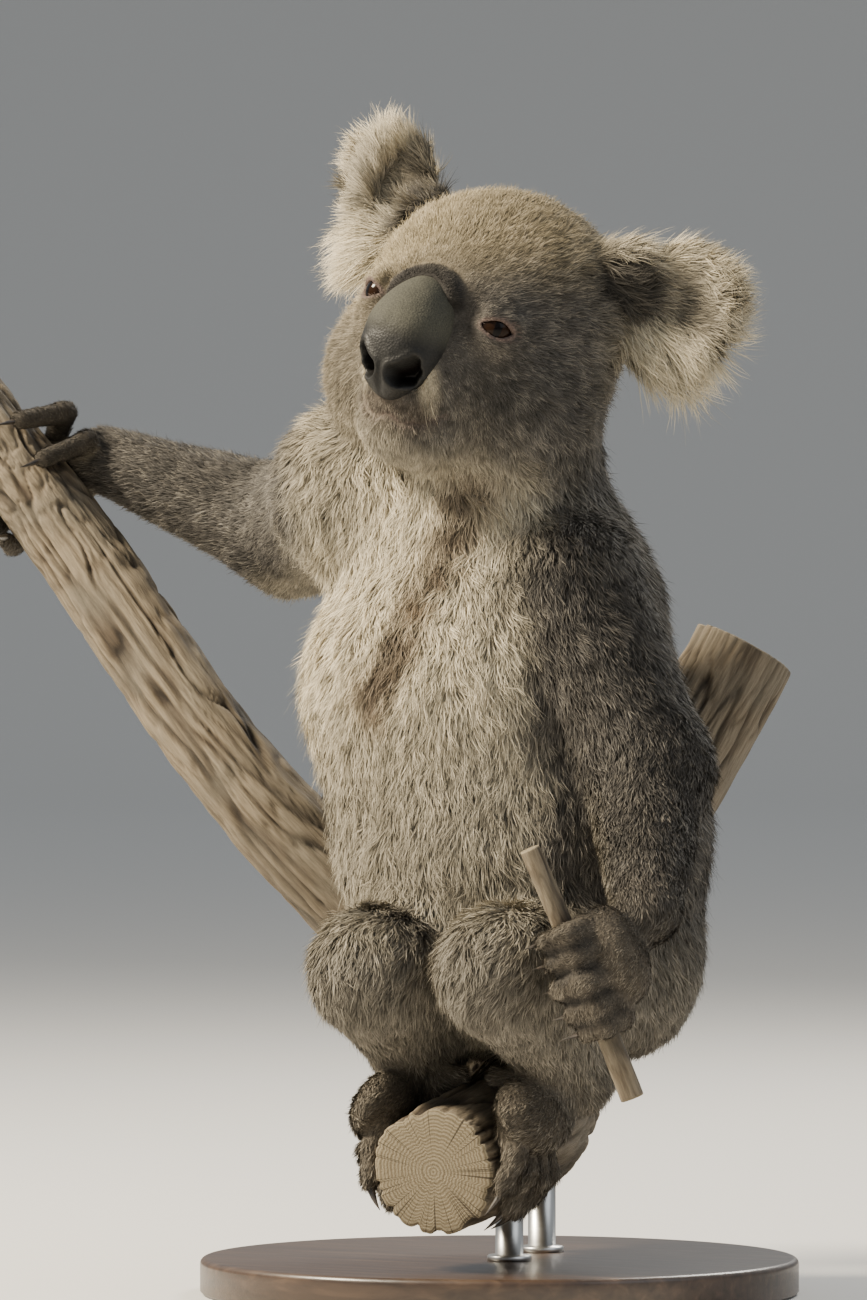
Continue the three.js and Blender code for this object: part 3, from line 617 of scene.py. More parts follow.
def surface_of(values, grid):
    """The closed surface where the values on the grid pass through nought. Each cell that it crosses gets one
    point, the mean of the crossings on the cell's edges, and each crossed edge joins its four cells."""
    cells = np.array(values.shape) - 1
    owners, spots, quads = [], [], []
    for axis in range(3):
        at = np.stack(np.nonzero(np.diff(values < 0, axis=axis)), 1)
        after = at + np.eye(3, dtype=int)[axis]
        a, b = values[tuple(at.T)], values[tuple(after.T)]
        share = (a / (a - b))[:, None]
        start, end = (np.stack([lines[k] for lines, k in zip(grid, ends.T)], 1) for ends in (at, after))
        crossing = start + (end - start) * share
        ring = []
        for back in ((0, 1, 1), (0, 0, 1), (0, 0, 0), (0, 1, 0)):
            cell = np.clip(at - np.roll(back, axis), 0, cells - 1)
            ring.append(np.ravel_multi_index(tuple(cell.T), cells))
            owners.append(ring[-1])
            spots.append(crossing)
        ring = np.stack(ring, 1)
        ring[a >= 0] = ring[a >= 0][:, ::-1]
        quads.append(ring)
    owners = np.concatenate(owners)
    spots = np.concatenate(spots)
    used, place = np.unique(owners, return_inverse=True)
    count = np.bincount(place)
    points = np.stack([np.bincount(place, spots[:, k]) / count for k in range(3)], 1)
    quads = np.searchsorted(used, np.concatenate(quads))
    faces = np.concatenate([quads[:, [0, 1, 2]], quads[:, [0, 2, 3]]])
    return points, faces


def normals_of(points, faces):
    """Each face's normal, as long as twice its area."""
    a, b, c = (points[faces[:, k]] for k in range(3))
    return np.cross(b - a, c - a)


skin_points, skin_faces = surface_of(values, GRID)


def rise(value, low, high):
    """A smooth step from 0 at low to 1 at high."""
    share = np.clip((value - low) / (high - low), 0, 1)
    return share * share * (3 - 2 * share)


def near_line(points, path, radius):
    """1 on a line of straight stretches, falling smoothly to 0 at a radius from it."""
    away = np.min([bone(a, b, 0, 0)[0](points) for a, b in zip(path, path[1:])], 0)
    return 1 - rise(away, 0.25 * radius, radius)


def weights_of(points):
    """How much each group of flesh owns each point: its share falls off over 5 mm outside the nearest one."""
    fields = {group: group_field(group, points) for group in flesh}
    least = np.min(list(fields.values()), 0)
    shares = {group: np.exp(-(field - least) / 5.0) for group, field in fields.items()}
    total = sum(shares.values())
    return {group: share / total for group, share in shares.items()}


def in_ear(side, points):
    """Places outward, in front and up of the middle of an ear."""
    return (points - in_head(*EAR_PLACE[side])) @ ear_axes[side].T * [-SIDES[side], 1, 1]


def in_eye(side, points):
    """Places along the opening of an eye, up and in front of its middle."""
    return (points - in_head(*EYE_PLACE[side])) @ eye_axes[side].T


# Each ear's middle is greyed by painted shade, more in the right ear.
DISH_SHADE = {"left": (3, -3, 0.5), "right": (-17, 28, 0.8)}  # outward, up, and how dark the ear's middle is
# How dark each arm is: partly its grey fur, partly painted shade, more on the left arm.
ARM_DARK_AND_SHADE = {"left": 1.0, "right": 0.8}
HAND_DARK = {"left": 0.12, "right": 0.42}
STREAK = [[18, 0, 408], [-4, 0, 352], [-26, 0, 300]]
LIP = ((18, 71, -30), (23, 67, -42), (26, 60, -54))


def round_spot(wide, high, wobble, inner):
    """1 in the middle of a ragged round spot, falling from inner to 0 at 1.2 of its half sizes."""
    return 1 - rise(np.hypot(wide, high) + wobble, inner, 1.2)


def ear_marks(side, points, normals, wobble):
    """The pale, dark and warm masks of an ear, and the dark mask of the head beside it: a dark hollow next to
    the head and dark on the head beside it, both painted shade, a middle greyed with painted shade, a pale
    fringe from the rim down, and painted sunlight, warm along the top."""
    local = in_ear(side, points)
    out, _, high = local.T
    inner = rise(normals @ ear_axes[side][1], -0.1, 0.5)
    # Painted shade: dark in the hollow next to the head and on the head beside it.
    hollow = round_spot((out + 28) / 17, (high - 3) / 18, wobble * 0.02, 0.6)
    beside = hollow * rise(local[:, 1], -14, 0) * 0.85
    middle_out, middle_high, depth = DISH_SHADE[side]
    middle = round_spot((out - middle_out) / 20, (high - middle_high) / 19, wobble * 0.03, 0.5)
    fringe = rise(-high + wobble * 0.6, -2, 16)
    hollow = hollow * (1 - rise(high, 8, 20) * (side == "left"))
    dark = inner * np.maximum(hollow * 0.85, middle * depth * (1 - fringe))
    pale = np.clip(0.12 + inner * (0.35 + 0.6 * fringe) - inner * hollow, 0, 1)
    pale += rise(np.hypot(out, high) + wobble * 0.3, 20, 32) * 0.4
    # The warm top of the ear is painted sunlight.
    return pale, dark, rise(high, 8, 22) * rise(-out, 0, 14) * 0.6, beside


def markings_of(points, normals, weights):
    """The masks of the coat's markings from place and facing: pale, dark, rusty, warm, bare and brown.
    Dark carries painted shade besides dark fur, warm carries painted sunlight besides beige fur, and pale
    carries painted light on the legs' upper faces.
    """
    wobble = smooth_noise(points, 26, 51) * 9 + smooth_noise(points, 9, 52) * 4
    left, front, up = head_parts(points)
    (x, y, z), (aside, behind, above) = points.T, normals.T
    trunk, head = weights["trunk"], weights["head"]
    pale, dark, rust, warm, bare, brown = masks = np.zeros((6, len(points)))
    bib = rise(-behind, 0.0, 0.5) * (1 - rise(x + wobble, 44, 66)) * rise(x + wobble, -92, -72)
    pale += trunk * bib * (1 - rise(y, -30, 0)) * (0.36 + 0.6 * rise(z + wobble, 235, 345))
    pale += trunk * rise(-above, 0.2, 0.9) * 0.5
    pale += head * (1 - rise(up + wobble * 0.4, -66, -50)) * rise(front, 15, 40) * 0.4
    for side, sign in SIDES.items():
        pale += head * near_line(points, [in_head(sign * at, *rest) for at, *rest in LIP], 10) * 0.9
        ear, arm, hand = (weights[f"{side}_{part}"] for part in ("ear", "arm", "hand"))
        ear_pale, ear_shade, ear_sunlit, beside = ear_marks(side, points, normals, wobble)
        pale += ear * ear_pale
        # The ear's dark marks and the dark on the head beside it are painted shade.
        dark += ear * ear_shade + head * beside
        warm += ear * ear_sunlit
        pale += arm * rise(-above * (side == "right") - sign * aside * 0.8, 0.3, 0.95) * 0.5
        # The arms' near-black is partly their grey fur and partly painted shade, more on the left arm.
        dark += arm * (0.22 + 0.25 * rise(-behind - wobble * 0.03, 0.1, 0.8)) * ARM_DARK_AND_SHADE[side]
        dark += hand * HAND_DARK[side]
        brown += (hand + weights[f"{side}_foot"]) * 0.75
        # The legs have a small even paleness of their own, plus painted light on their upper faces.
        pale += weights[f"{side}_leg"] * (0.15 + 0.3 * rise(above, 0.2, 0.9) * rise(wobble, -8, 8))
        along, high, out = in_eye(side, points).T
        dark += head * (1 - rise(np.sqrt(along**2 + high**2 + out**2), 13, 22)) * 0.15
        rim = np.hypot(along / (EYE_OPENING[0] + 1.3), (high + 0.4) / (EYE_OPENING[1] + 1.5))
        bare += (1 - rise(rim, 0.95, 1.12)) * rise(out, 0, 2)
    bare += near_line(points, mouth, 2.4) * 0.8
    # The even 0.1 is the head's own darker tone; the dark arc under the wrinkle is painted shade between the
    # fur and the nose pad.
    dark += head * (0.1 + 2 * near_line(points, fold - 1.5 * HEAD_AXES[2], 8.5))
    streak = near_line(points * [1, 0, 1] + wobble[:, None] * [0.6, 0, 0], STREAK, 19)
    streak *= trunk * rise(-behind, 0, 0.3) * (0.55 + 0.45 * rise(smooth_noise(points, 7, 53), -0.6, 0.4))
    # Along the streak, the near-black is painted shadow and the rust is the chest's own stain.
    dark += rise(streak, 0.35, 0.9) * rise(-wobble, -8, 6) * 0.6
    rust += streak * 0.85 + head * near_line(points, [in_head(-27, 62, -50), in_head(27, 62, -50)], 13) * 0.2
    # The warm beige on the top and the right side of the head and on the trunk's upper faces is partly the
    # fur's colour, partly painted sunlight.
    warm += head * (rise(up - 0.4 * left, 0, 46) * 0.85 + 0.35 * rise(-left, 8, 40))
    warm += trunk * rise(above, 0.1, 0.9) * 0.2
    gripping = sum(weights[group] for group in GRIPS)
    # Painted shade in the clefts between the gripping digits.
    for cleft in shaded_clefts:
        dark += gripping * near_line(points, cleft, 6) * 0.8
    return np.clip(masks.T, 0, 1)


skin_weights = weights_of(skin_points)
face_normals = normals_of(skin_points, skin_faces)
skin_normals = unit(np.stack([
    sum(np.bincount(skin_faces[:, k], face_normals[:, axis], len(skin_points)) for k in range(3))
    for axis in range(3)], 1) + 1e-9)
skin_marks = markings_of(skin_points, skin_normals, skin_weights)

# The markings that skin and coat share: grey-brown, cream, near-black (dark fur and painted shade), chest
# stain, beige (beige fur and painted sunlight) and bare skin.
markings = bpy.data.node_groups.new("koala_markings", "ShaderNodeTree")
for label, kind, way in (
    ("Masks", "Vector", "INPUT"), ("More Masks", "Vector", "INPUT"), ("Colour", "Color", "OUTPUT"),
):
    markings.interface.new_socket(label, in_out=way, socket_type=f"NodeSocket{kind}")
into, out_of = markings.nodes.new("NodeGroupInput"), markings.nodes.new("NodeGroupOutput")
first, second = (parts_of(markings, into.outputs[label]) for label in ("Masks", "More Masks"))
patchy = noise(markings, object_place(markings), 45, 4)
colour = ramp_of(markings, patchy, (0.3, (0.078, 0.072, 0.064)), (0.7, (0.135, 0.124, 0.110)))
for mask, tone in (
    (second["Z"], (0.125, 0.106, 0.080)), (second["X"], (0.33, 0.27, 0.165)),
    (first["X"], (0.66, 0.585, 0.43)), (first["Z"], (0.155, 0.094, 0.045)),
    (first["Y"], (0.034, 0.031, 0.028)), (second["Y"], (0.155, 0.115, 0.102)),
):
    colour = mixed(markings, mask, colour, tone)
markings.links.new(colour, out_of.inputs["Colour"])


def markings_in(tree):
    """The markings' colour in a material, read from the masks that its piece carries."""
    placed = add_node(tree, "Group", node_tree=markings)
    for socket, label in (("Masks", "marks"), ("More Masks", "more_marks")):
        tree.links.new(carried(tree, label), placed.inputs[socket])
    return placed.outputs["Colour"]


skin_coat, tree, shader = new_material("skin", Roughness=0.8, Specular_IOR_Level=0.25)
nap = noise(tree, object_place(tree), 900, 3)
# This ramp darkens the skin: painted shade under the coat, broken up by the nap.
nap_and_underfur_shade = ramp_of(tree, nap, (0.3, (0.45, 0.43, 0.41)), (0.72, (0.95, 0.94, 0.92)))
feed(tree, shader, Base_Color=mixed(tree, 1, markings_in(tree), nap_and_underfur_shade, "MULTIPLY"),
     Normal=bump(tree, nap, 0.7, 0.0008))
skin = make_piece("skin", skin_points, skin_faces, skin_coat, "coat",
                  {"marks": skin_marks[:, :3], "more_marks": skin_marks[:, 3:]})
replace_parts(skin, "trunk", "neck", "head", *(
    f"{part}_{side}" for side in SIDES
    for part in ("ear", "upper_arm", "forearm", "hand", "thigh", "shin", "foot")))

# ---------------------------------------------------------------- eyes
# Small wet eyeballs deep under the lids: a brown iris fills the opening, its pupil a narrow upright slit.

eyeball, tree, shader = new_material("eyeball", Roughness=0.1, Specular_IOR_Level=0.13)
flat_place = stretched(tree, carried(tree, "eye"), 1, 1, 0)
out = vector_math(tree, "LENGTH", flat_place)
slit = vector_math(tree, "LENGTH", stretched(tree, flat_place, 4.6, 1.5, 0))
spokes = noise(tree, vector_math(tree, "NORMALIZE", flat_place), 14, 3)
iris = mixed(tree, spokes, (0.007, 0.004, 0.002), (0.026, 0.012, 0.006))
ringed = mixed(tree, spread_over(tree, out, 0, 1, 0.55, 0.8), iris, (0.008, 0.005, 0.004))
pupil = (0.004, 0.003, 0.003)
feed(tree, shader, Base_Color=mixed(tree, spread_over(tree, slit, 0, 1, 0.85, 1.05), pupil, ringed))
cosine, sine = round_turn(72)
lean = np.linspace(np.pi - 0.03, 0.03, 60)[:, None]
bulge = 1 + 0.05 * np.exp(-((lean / 0.5) ** 2))
ball_points, ball_faces = closed_rings(
    stacked(np.sin(lean) * cosine, np.sin(lean) * sine, np.cos(lean)) * bulge[..., None])
for side, sign in SIDES.items():
    eye = make_piece(f"eyeball_{side}", in_head(*EYE_PLACE[side]) + EYE_RADIUS * ball_points @ eye_axes[side],
                     ball_faces[:, ::int(sign)], eyeball, "eye", {"eye": ball_points})
    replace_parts(eye, f"eye_{side}")

# ---------------------------------------------------------------- nose
# The big bare pad of slate-black leathery skin, broadest at the bottom, where two comma-shaped nostrils open
# beside a shallow groove. Its upper half carries a fine velvet.

NOSE_TAPER = 0.08  # how much narrower the pad is at its top
NOSTRIL_DEPTH = 14.0
NOSE_ROWS, NOSE_COLUMNS = 150, 200
cosine, sine = round_turn(NOSE_COLUMNS)
lean = np.linspace(np.pi - 0.05, 0.01, NOSE_ROWS)[:, None]
reach = np.sin(lean) ** 0.92
front = np.where(np.cos(lean) > 0, np.abs(np.cos(lean)) ** 0.86, -0.75 * np.abs(np.cos(lean)))
pad = stacked(reach * cosine, front, reach * sine).reshape(-1, 3)
pad_high = pad[:, 2]
pad[:, 0] *= 1 - NOSE_TAPER * (pad_high + 1) / 2
pad[:, 0] *= 1 - 0.10 * rise(-pad_high, 0.55, 1.0)
pad *= NOSE_SIZE
spread = stacked(np.abs(pad[:, 0]), 0.0, pad[:, 2])
comma = [[8.2, 0, -20.5], [11.5, 0, -19.0], [14.2, 0, -15.0], [15.6, 0, -10.5]]
comma_radius = [4.2, 4.8, 3.6, 1.4]
hole = np.min([bone(a, b, ra, rb)[0](spread) for a, b, ra, rb in zip(
    comma, comma[1:], comma_radius, comma_radius[1:])], 0)
on_front = rise(pad[:, 1], -1, 4)
depth = (1 - rise(hole, -4.6, 1.8)) * on_front
wing = np.exp(-((hole - 2.0) / 2.0) ** 2) * on_front
groove = np.exp(-((pad[:, 0] / 1.6) ** 2)) * (1 - rise(pad[:, 2], -26, -14)) * on_front
crown = rise(pad[:, 2], -4, 22) * np.exp(-((pad[:, 0] / 11) ** 2)) * on_front
pad[:, 1] += 0.9 * wing - 1.4 * groove + 0.8 * crown - 7.5 * rise(pad[:, 2], 2, 34)
pad += depth[:, None] * stacked(-1.5 * np.sign(pad[:, 0]), -NOSTRIL_DEPTH, 2.0)
pad[:, 1] += 0.25 * smooth_noise(pad, 5, 71) * on_front
pad_points = HEAD_CENTRE + (NOSE_PLACE + pad) @ HEAD_AXES
pad_masks = stacked(rise(depth, 0.2, 0.8), rise(pad[:, 2], -5, 9) * (1 - depth), groove)
nose_points, nose_faces = closed_rings(pad_points.reshape(NOSE_ROWS, NOSE_COLUMNS, 3))
nose_masks, _ = closed_rings(pad_masks.reshape(NOSE_ROWS, NOSE_COLUMNS, 3))
nose_skin, tree, shader = new_material("nose_skin", Specular_IOR_Level=0.28)
here = object_place(tree)
pebbles = add_node(tree, "TexVoronoi", {"Vector": here, "Scale": 900.0}).outputs["Distance"]
velvet = noise(tree, here, 1500, 2)
parts = parts_of(tree, carried(tree, "pad"))
leather = ramp_of(tree, pebbles, (0, (0.015, 0.015, 0.0145)), (0.8, (0.008, 0.0078, 0.0075)))
felt = ramp_of(tree, velvet, (0.3, (0.034, 0.034, 0.027)), (0.7, (0.078, 0.076, 0.058)))
outside = mixed(tree, parts["Y"], leather, felt)
# The near-black inside the nostrils is painted shade in their pits.
feed(tree, shader, Base_Color=mixed(tree, parts["X"], outside, (0.003, 0.0015, 0.0012)),
     Roughness=spread_over(tree, parts["Y"], 0.5, 0.8), Normal=bump(tree, pebbles, 0.5, 0.0003))
nose = make_piece("nose_pad", nose_points, nose_faces, nose_skin, "nose", {"pad": nose_masks})
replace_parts(nose, "nose")

# ---------------------------------------------------------------- claws
# Long sharp claws of black horn, pressed flat from side to side and hooked down round the wood.

CLAW_LENGTH, CLAW_RADIUS = 17.0, 2.9
CLAW_HOOK = 0.28  # how far the tip bends inwards, as a share of the length
CLAW_FLATNESS = 0.62  # its width from side to side, as a share of its height
horn, tree, shader = new_material("horn", Coat_Weight=0.3, Coat_Roughness=0.2)
layers = noise(tree, object_place(tree), 420, 4)
feed(tree, shader, Roughness=spread_over(tree, layers, 0.28, 0.5),
     Base_Color=ramp_of(tree, layers, (0.3, (0.012, 0.010, 0.009)), (0.75, (0.060, 0.048, 0.038))))
cosine, sine = (part[:, None] for part in round_turn(12))
share = np.linspace(-0.25, 1, 14)[:, None]
radius = CLAW_RADIUS * np.clip(1 - share, 0.03, 1) ** 0.75
claw_points, claw_faces = [], []
for tip, heading, palm_axes in claw_roots:
    held = palm_axes[2]
    inward = unit(-held - heading * (-held @ heading) + 1e-6)
    aside = unit(np.cross(heading, inward))
    spine = tip + CLAW_LENGTH * (heading * share + inward * CLAW_HOOK * np.maximum(share, 0) ** 2)
    points, faces = closed_rings(spine[:, None] + radius[..., None] * (
        CLAW_FLATNESS * aside * cosine + np.cross(heading, aside) * sine))
    claw_faces.append(faces + len(points) * len(claw_points))
    claw_points.append(points)
make_piece("claws", np.concatenate(claw_points), np.concatenate(claw_faces), horn, "claw")

# ---------------------------------------------------------------- coat
# Dense woolly fur in thin tufts that overlap like thatch: each is a bent, tapering blade, rooted in the skin
# and laid along the body. Shortest round the nose and on the hands, longest on the chest and the ears.

chance = np.random.default_rng(7)
NOSE_TIP = in_head(0, 84, -6)


def coat_of(points, normals, weights):
    """The lie, length, width and lift of the coat, and how many tufts a square millimetre has, from the
    groups that own each point. The lie blends one direction for each group and is laid on to the skin."""
    left, _, up = head_parts(points)
    lie = np.zeros_like(points)
    length, width, lift, crowd = (np.zeros(len(points)) for _ in range(4))

    def share(group, direction, *sizes):
        """Adds a group's share of the direction and of length, width, lift and crowding."""
        lie[:] += weights[group][:, None] * unit(direction)
        for total, size in zip((length, width, lift, crowd), sizes):
            total += weights[group] * size

    def bent_run(first, middle, last, before):
        """The direction along a bent limb, which turns at its middle joint, and the share of it past that."""
        past = rise((points - middle) @ unit(last - middle), before, 14)
        return unit(middle - first) * (1 - past)[:, None] + unit(last - middle) * past[:, None], past

    x, y, z = points.T
    from_nose = np.linalg.norm(points - NOSE_TIP, axis=1)
    share("trunk", np.stack([0.25 * (x + 4) / 80, 0.2 * y / 80, np.full(len(x), -1.0)], 1),
          12.5 + 2 * rise(-y, 20, 70), 0.8, 0.56, 1.1)
    away = points - NOSE_TIP - 35 * rise(-up, 0, 45)[:, None] * HEAD_AXES[2]
    share("head", away, 2.6 + 6.0 * rise(from_nose, 22, 130) + 3 * rise(np.abs(left), 38, 66),
          0.36 + 0.30 * rise(from_nose, 25, 125), 0.50 + 0.10 * rise(from_nose, 40, 110),
          3.5 - 1.7 * rise(from_nose, 35, 125))
    for side, sign in SIDES.items():
        local = in_ear(side, points)
        inner = rise(local[:, 1] * 0.05 + normals @ ear_axes[side][1], -0.1, 0.5)
        rim = rise(np.hypot(local[:, 0] / 30, local[:, 2] / 36), 0.55, 0.95)
        low = rise(-local[:, 2], -6, 22)
        fan = points - in_head(sign * 28, -20, 36) - (8 + 34 * low)[:, None] * HEAD_AXES[2]
        share(f"{side}_ear", fan, 8 + 5 * inner + 7 * rim + 12 * low * inner, 0.60, 0.40 + 0.14 * inner, 2.0)
        run, past = bent_run(SHOULDER[side], ELBOW[side], WRIST[side], -12)
        share(f"{side}_arm", run + [0, 0, -0.25], 9.5 - 2 * past, 0.66, 0.58, 1.4)
        run, past = bent_run(HIP[side], KNEE[side], ANKLE[side], -16)
        share(f"{side}_leg", 0.7 * run + [0, 0, -1.1], 11.5 - 4 * past, 0.74, 0.50, 0.95)
        share(f"{side}_hand", points - WRIST[side], 3.2, 0.50, 0.50, 2.1)
        share(f"{side}_foot", points - ANKLE[side] + [0, 12, 0], 5.0, 0.64, 0.46, 1.1)
    stir = np.stack([
        smooth_noise(points, 5.5, 61 + k) + 0.6 * smooth_noise(points, 17, 64 + k) for k in range(3)], 1)
    lie = unit(lie) + stir * (0.25 + 0.42 * rise(length, 4, 13))[:, None]
    lie -= normals * (lie * normals).sum(1)[:, None]
    return unit(lie), length, width, lift, crowd


area = np.linalg.norm(face_normals, axis=1) / 2
point_crowd = coat_of(skin_points, skin_normals, skin_weights)[4]
point_crowd *= 1 - skin_marks[:, 4]
tufts_due = area * point_crowd[skin_faces].mean(1)
count = int(tufts_due.sum())
running = np.cumsum(tufts_due)
chosen = np.searchsorted(running, (np.arange(count) + chance.random(count)) / count * running[-1])
share_a, share_b = np.sort(chance.random((2, count)), 0)
mix = np.stack([share_a, share_b - share_a, 1 - share_b], 1)
picked = skin_faces[np.minimum(chosen, len(skin_faces) - 1)]
roots = (skin_points[picked] * mix[..., None]).sum(1)
root_normals = unit((skin_normals[picked] * mix[..., None]).sum(1))

# No tuft grows where the wood presses on the skin, under the nose pad or on the eyes.
clear = np.ones(count, bool)
for path, radii in (LOG, LIMB, STUMP):
    spine = curve_through(path, np.linspace(0, 1, 24))
    size = np.interp(np.linspace(0, 1, 24), np.linspace(0, 1, len(radii)), radii)
    for a, b, ra, rb in zip(spine, spine[1:], size, size[1:]):
        clear &= bone(a, b, ra, rb)[0](roots) > 0.5
clear &= head_mass(NOSE_PLACE, NOSE_SIZE * [0.9, 1.0, 0.97])[0](roots) > 0.4
for side in SIDES:
    clear &= np.linalg.norm(roots - in_head(*EYE_PLACE[side]), axis=1) > EYE_RADIUS + 0.8
roots, root_normals = roots[clear], root_normals[clear]
root_weights = weights_of(roots)
root_marks = markings_of(roots, root_normals, root_weights)
lie, length, width, lift, _ = coat_of(roots, root_normals, root_weights)
luck = chance.random((len(roots), 4))
wild = luck[:, 3] > 0.9
length *= 0.75 + 0.5 * luck[:, 0] + 0.3 * wild
width *= np.where(wild, 0.5, 0.8 + 0.4 * luck[:, 1])
lift *= 0.7 + 0.5 * luck[:, 2] + 0.4 * wild
tone = 0.6 * luck[:, 1] + 0.4 * (0.5 + 0.8 * smooth_noise(roots, 3.2, 81))
length *= 1 + 0.25 * smooth_noise(roots, 6.5, 82)

# A few stiff whiskers beside the nose and over the eyes.
WHISKER = (26, 0.28, 0.75)  # length, width and lift
beside = np.min([np.linalg.norm(roots - in_head(*spot), axis=1) for spot in (
    (-24, 66, -34), (24, 66, -34), (-30, 56, 17), (30, 56, 17))], 0)
whisker = (beside < 13) & (luck[:, 0] > 0.992)
length[whisker], width[whisker], lift[whisker] = WHISKER

fur, tree, shader = new_material("fur", Roughness=0.72, Specular_IOR_Level=0.22)
strand = parts_of(tree, carried(tree, "strand"))
# Each strand is darker towards its root: painted shade deep in the coat.
along = spread_over(tree, strand["X"], 0.42, 1.22)
fate = spread_over(tree, strand["Y"], 0.42, 1.5)
tinted = add_node(tree, "VectorMath", {0: markings_in(tree), "Scale": maths(tree, "MULTIPLY", along, fate)},
                  operation="SCALE").outputs["Vector"]
light_hair = spread_over(tree, strand["Y"], 0, 1, 0.62, 0.85)
light_tip = spread_over(tree, strand["X"], 0, 0.6, 0.35, 0.9)
undarkened = spread_over(tree, parts_of(tree, carried(tree, "marks"))["Y"], 1, 0.08)
salt = maths(tree, "MULTIPLY", maths(tree, "MULTIPLY", light_hair, light_tip), undarkened)
feed(tree, shader, Base_Color=mixed(tree, salt, tinted, (0.40, 0.355, 0.28)))


PATCH = 0.003  # the size of a tuft's patch on the flat map


def unwrapped(points):
    """Places on a flat map of the skin's own shape: the turn round the middle of the group and the lean away
    from its axis, once its three half sizes are made equal."""
    centre = (points.min(0) + points.max(0)) / 2
    local = (points - centre) / np.maximum((points.max(0) - points.min(0)) / 2, 1)
    reach = np.linalg.norm(local, axis=1) + 1e-9
    return np.stack([np.arctan2(local[:, 1], local[:, 0]) / (2 * np.pi) + 0.5,
                     np.arccos(np.clip(local[:, 2] / reach, -1, 1)) / np.pi], 1) * 0.99 + 0.005


def coat_piece(name, own, rows):
    """The tufts at the places picked by own, as one mesh. A tuft follows root + length * (share along the lie
    + lift * (share - 0.42 * its square) off the skin), turns a little about itself and narrows to a point."""
    root, normal, flow = roots[own], root_normals[own], lie[own]
    aside = np.cross(flow, normal)
    roll = (chance.random(len(root)) - 0.5)[:, None] * 1.3
    aside = aside * np.cos(roll) + normal * np.sin(roll)
    share = np.array(rows)[None, :, None]
    long, high = length[own][:, None, None], lift[own][:, None, None]
    sway = (chance.random(len(root)) - 0.5)[:, None, None] * 0.5
    spine = root[:, None] - normal[:, None] * 0.5 + long * (
        flow[:, None] * share * np.sqrt(1 - np.minimum(high, 0.9) ** 2)
        + normal[:, None] * high * (share - 0.42 * share**2) + aside[:, None] * sway * share**2)
    half = aside[:, None] * width[own][:, None, None] * 0.5 * (1 - share**1.6)
    blade = np.stack([spine + half, spine - half], 2)[:, :-1].reshape(len(root), -1, 3)
    points = np.concatenate([blade, spine[:, -1:]], 1)
    each = points.shape[1]
    pattern = [[a, a + 1, a + 3, a + 2] for a in range(0, each - 3, 2)]
    triangles = [[a, b, c] for a, b, c, _ in pattern] + [[a, c, d] for a, _, c, d in pattern]
    triangles += [[each - 3, each - 2, each - 1]]
    faces = (np.array(triangles)[None] + each * np.arange(len(root))[:, None, None]).reshape(-1, 3)
    height = np.append(np.repeat(rows[:-1], 2), 1.0)
    across = np.append(np.tile([0.5, -0.5], len(rows) - 1), 0.0)
    strand = np.stack([np.broadcast_to(height, (len(root), each)),
                       np.repeat(tone[own][:, None], each, 1), np.zeros((len(root), each))], 2)
    patch = unwrapped(root)[:, None] + PATCH * np.stack([across, height - 0.5], 1)[None]
    marks = np.repeat(root_marks[own], each, 0)
    make_piece(name, points.reshape(-1, 3), faces, fur, "coat", {
        "marks": marks[:, :3], "more_marks": marks[:, 3:], "strand": strand.reshape(-1, 3)},
        patch.reshape(-1, 2))


owner = np.argmax(np.stack([root_weights[group] for group in flesh]), 0)
owner = np.array(list(flesh))[owner]
LONG_ROWS, SHORT_ROWS = [0.0, 0.38, 0.74, 1.0], [0.0, 0.55, 1.0]  # shares of a tuft's length at its rows
MOST_TRIANGLES = 195000  # in one piece of the coat
for name, groups, rows in (
    ("head", ("head",), SHORT_ROWS), ("ears", ("left_ear", "right_ear"), LONG_ROWS),
    ("trunk", ("trunk",), SHORT_ROWS), ("arms", ("left_arm", "right_arm"), SHORT_ROWS),
    ("legs", ("left_leg", "right_leg"), SHORT_ROWS),
    ("hands_and_feet", ("left_hand", "right_hand", "left_foot", "right_foot"), SHORT_ROWS),
):
    own = np.flatnonzero(np.isin(owner, groups))
    own = own[np.argsort(roots[own, 2])]
    pieces = int(np.ceil(len(own) * (2 * len(rows) - 3) / MOST_TRIANGLES))
    for number, part in enumerate(np.array_split(own, pieces), 1):
        coat_piece(f"coat_{name}_{number}", part, rows)


# ---------------------------------------------------------------- studio
# A pale floor that sweeps up into a far wall all round, one large warm lamp high on the animal's right,
# broad soft fill and a low lamp behind.

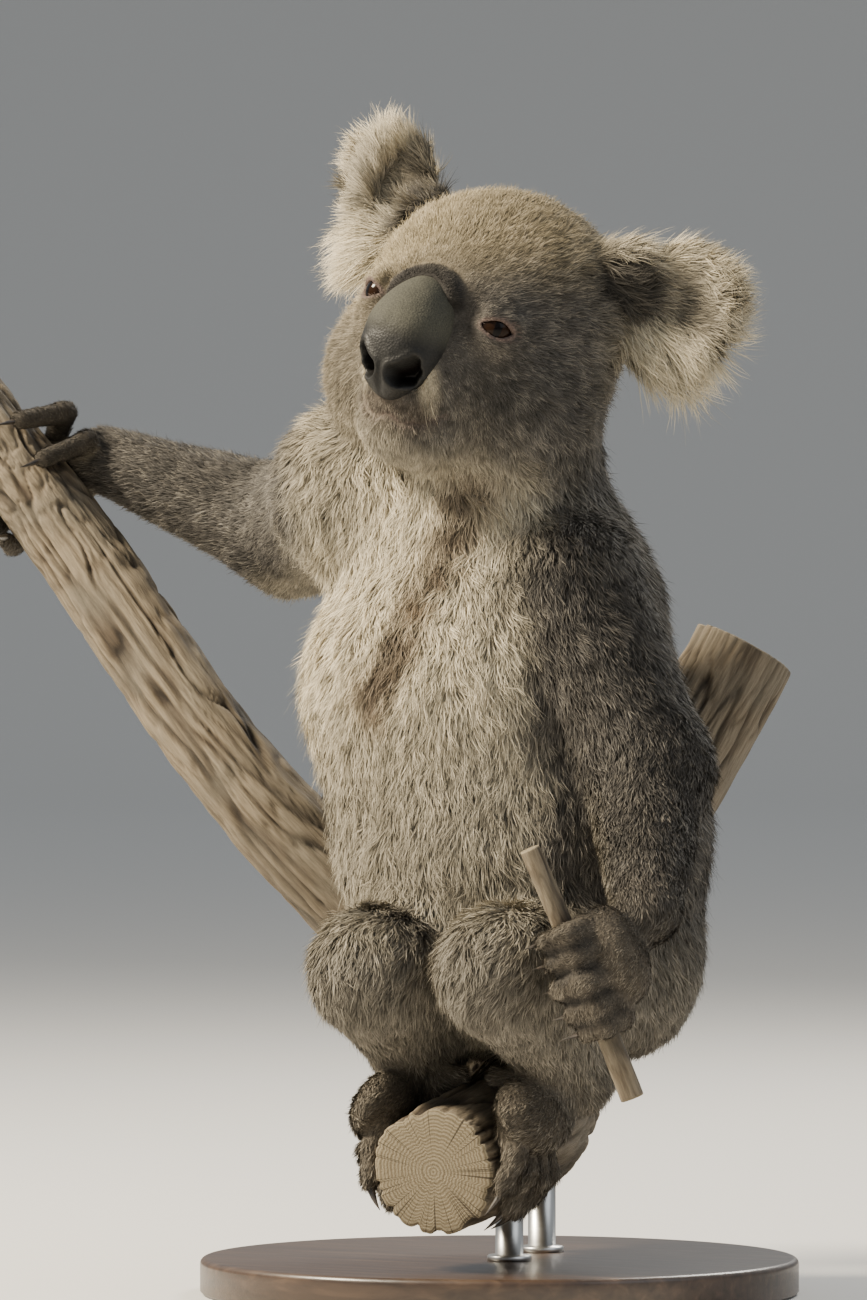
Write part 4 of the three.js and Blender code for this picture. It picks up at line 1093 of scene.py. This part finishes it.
FLOOR_REACH, WALL_REACH, WALL_RISE = 12500.0, 4500.0, 3400.0
sweep = np.linspace(0.1, 1.57, 14)
floor_profile = np.array([[0.02, -0.3], [FLOOR_REACH, -0.3], *np.stack([
    FLOOR_REACH + WALL_REACH * np.sin(sweep), WALL_RISE * (1 - np.cos(sweep))], 1)])
floor_points, floor_faces = turned(floor_profile, -SHIFT, 96)
open_above = floor_faces[:-96, ::-1]
floor_paint, _, _ = new_material("floor_paint", Base_Color=(0.62, 0.61, 0.59, 1.0), Roughness=0.9)
floor = mesh_object("floor", floor_points, open_above, floor_paint)

TARGET = (np.array([-32.0, -18.5, 322.0]) + SHIFT) / 1000
TOWARDS = np.array([0.5, -np.sqrt(0.75), 0.0])
RIGHTWARDS = np.array([np.sqrt(0.75), 0.5, 0.0])


def aimed(thing, place):
    """Puts a lamp or the camera at a place, looking at the animal."""
    thing.location = place
    thing.rotation_euler = Vector(TARGET - place).to_track_quat("-Z", "Y").to_euler()
    bpy.context.scene.collection.objects.link(thing)
    return thing


for name, right, near, high, size, power, colour in (
    ("key", -1.9, 0.25, 1.7, 0.6, 240.0, (1.0, 0.88, 0.68)),
    ("fill", 2.6, 1.6, 1.6, 2.4, 22.0, (0.93, 0.96, 1.0)),
    ("rim", 1.1, -1.9, 1.6, 0.8, 60.0, (1.0, 0.95, 0.86)),
):
    lamp = bpy.data.lights.new(name, "AREA")
    lamp.size, lamp.energy, lamp.color = size, power, colour
    aimed(bpy.data.objects.new(name, lamp), TARGET + RIGHTWARDS * right + TOWARDS * near + [0, 0, high])
world = bpy.data.worlds.new("studio")
world.use_nodes = True
world.node_tree.nodes["Background"].inputs["Color"].default_value = (0.9, 0.95, 1.0, 1.0)
world.node_tree.nodes["Background"].inputs["Strength"].default_value = 0.45
bpy.context.scene.world = world

lens = bpy.data.cameras.new("camera")
lens.sensor_fit = "VERTICAL"
lens.sensor_height = 36.0
lens.lens = 36.0 * 4000 / 650  # the picture is 650 mm high at the animal, 4 m away
lens.clip_end = 100.0
bpy.context.scene.camera = aimed(bpy.data.objects.new("camera", lens), TARGET + 4.0 * TOWARDS)
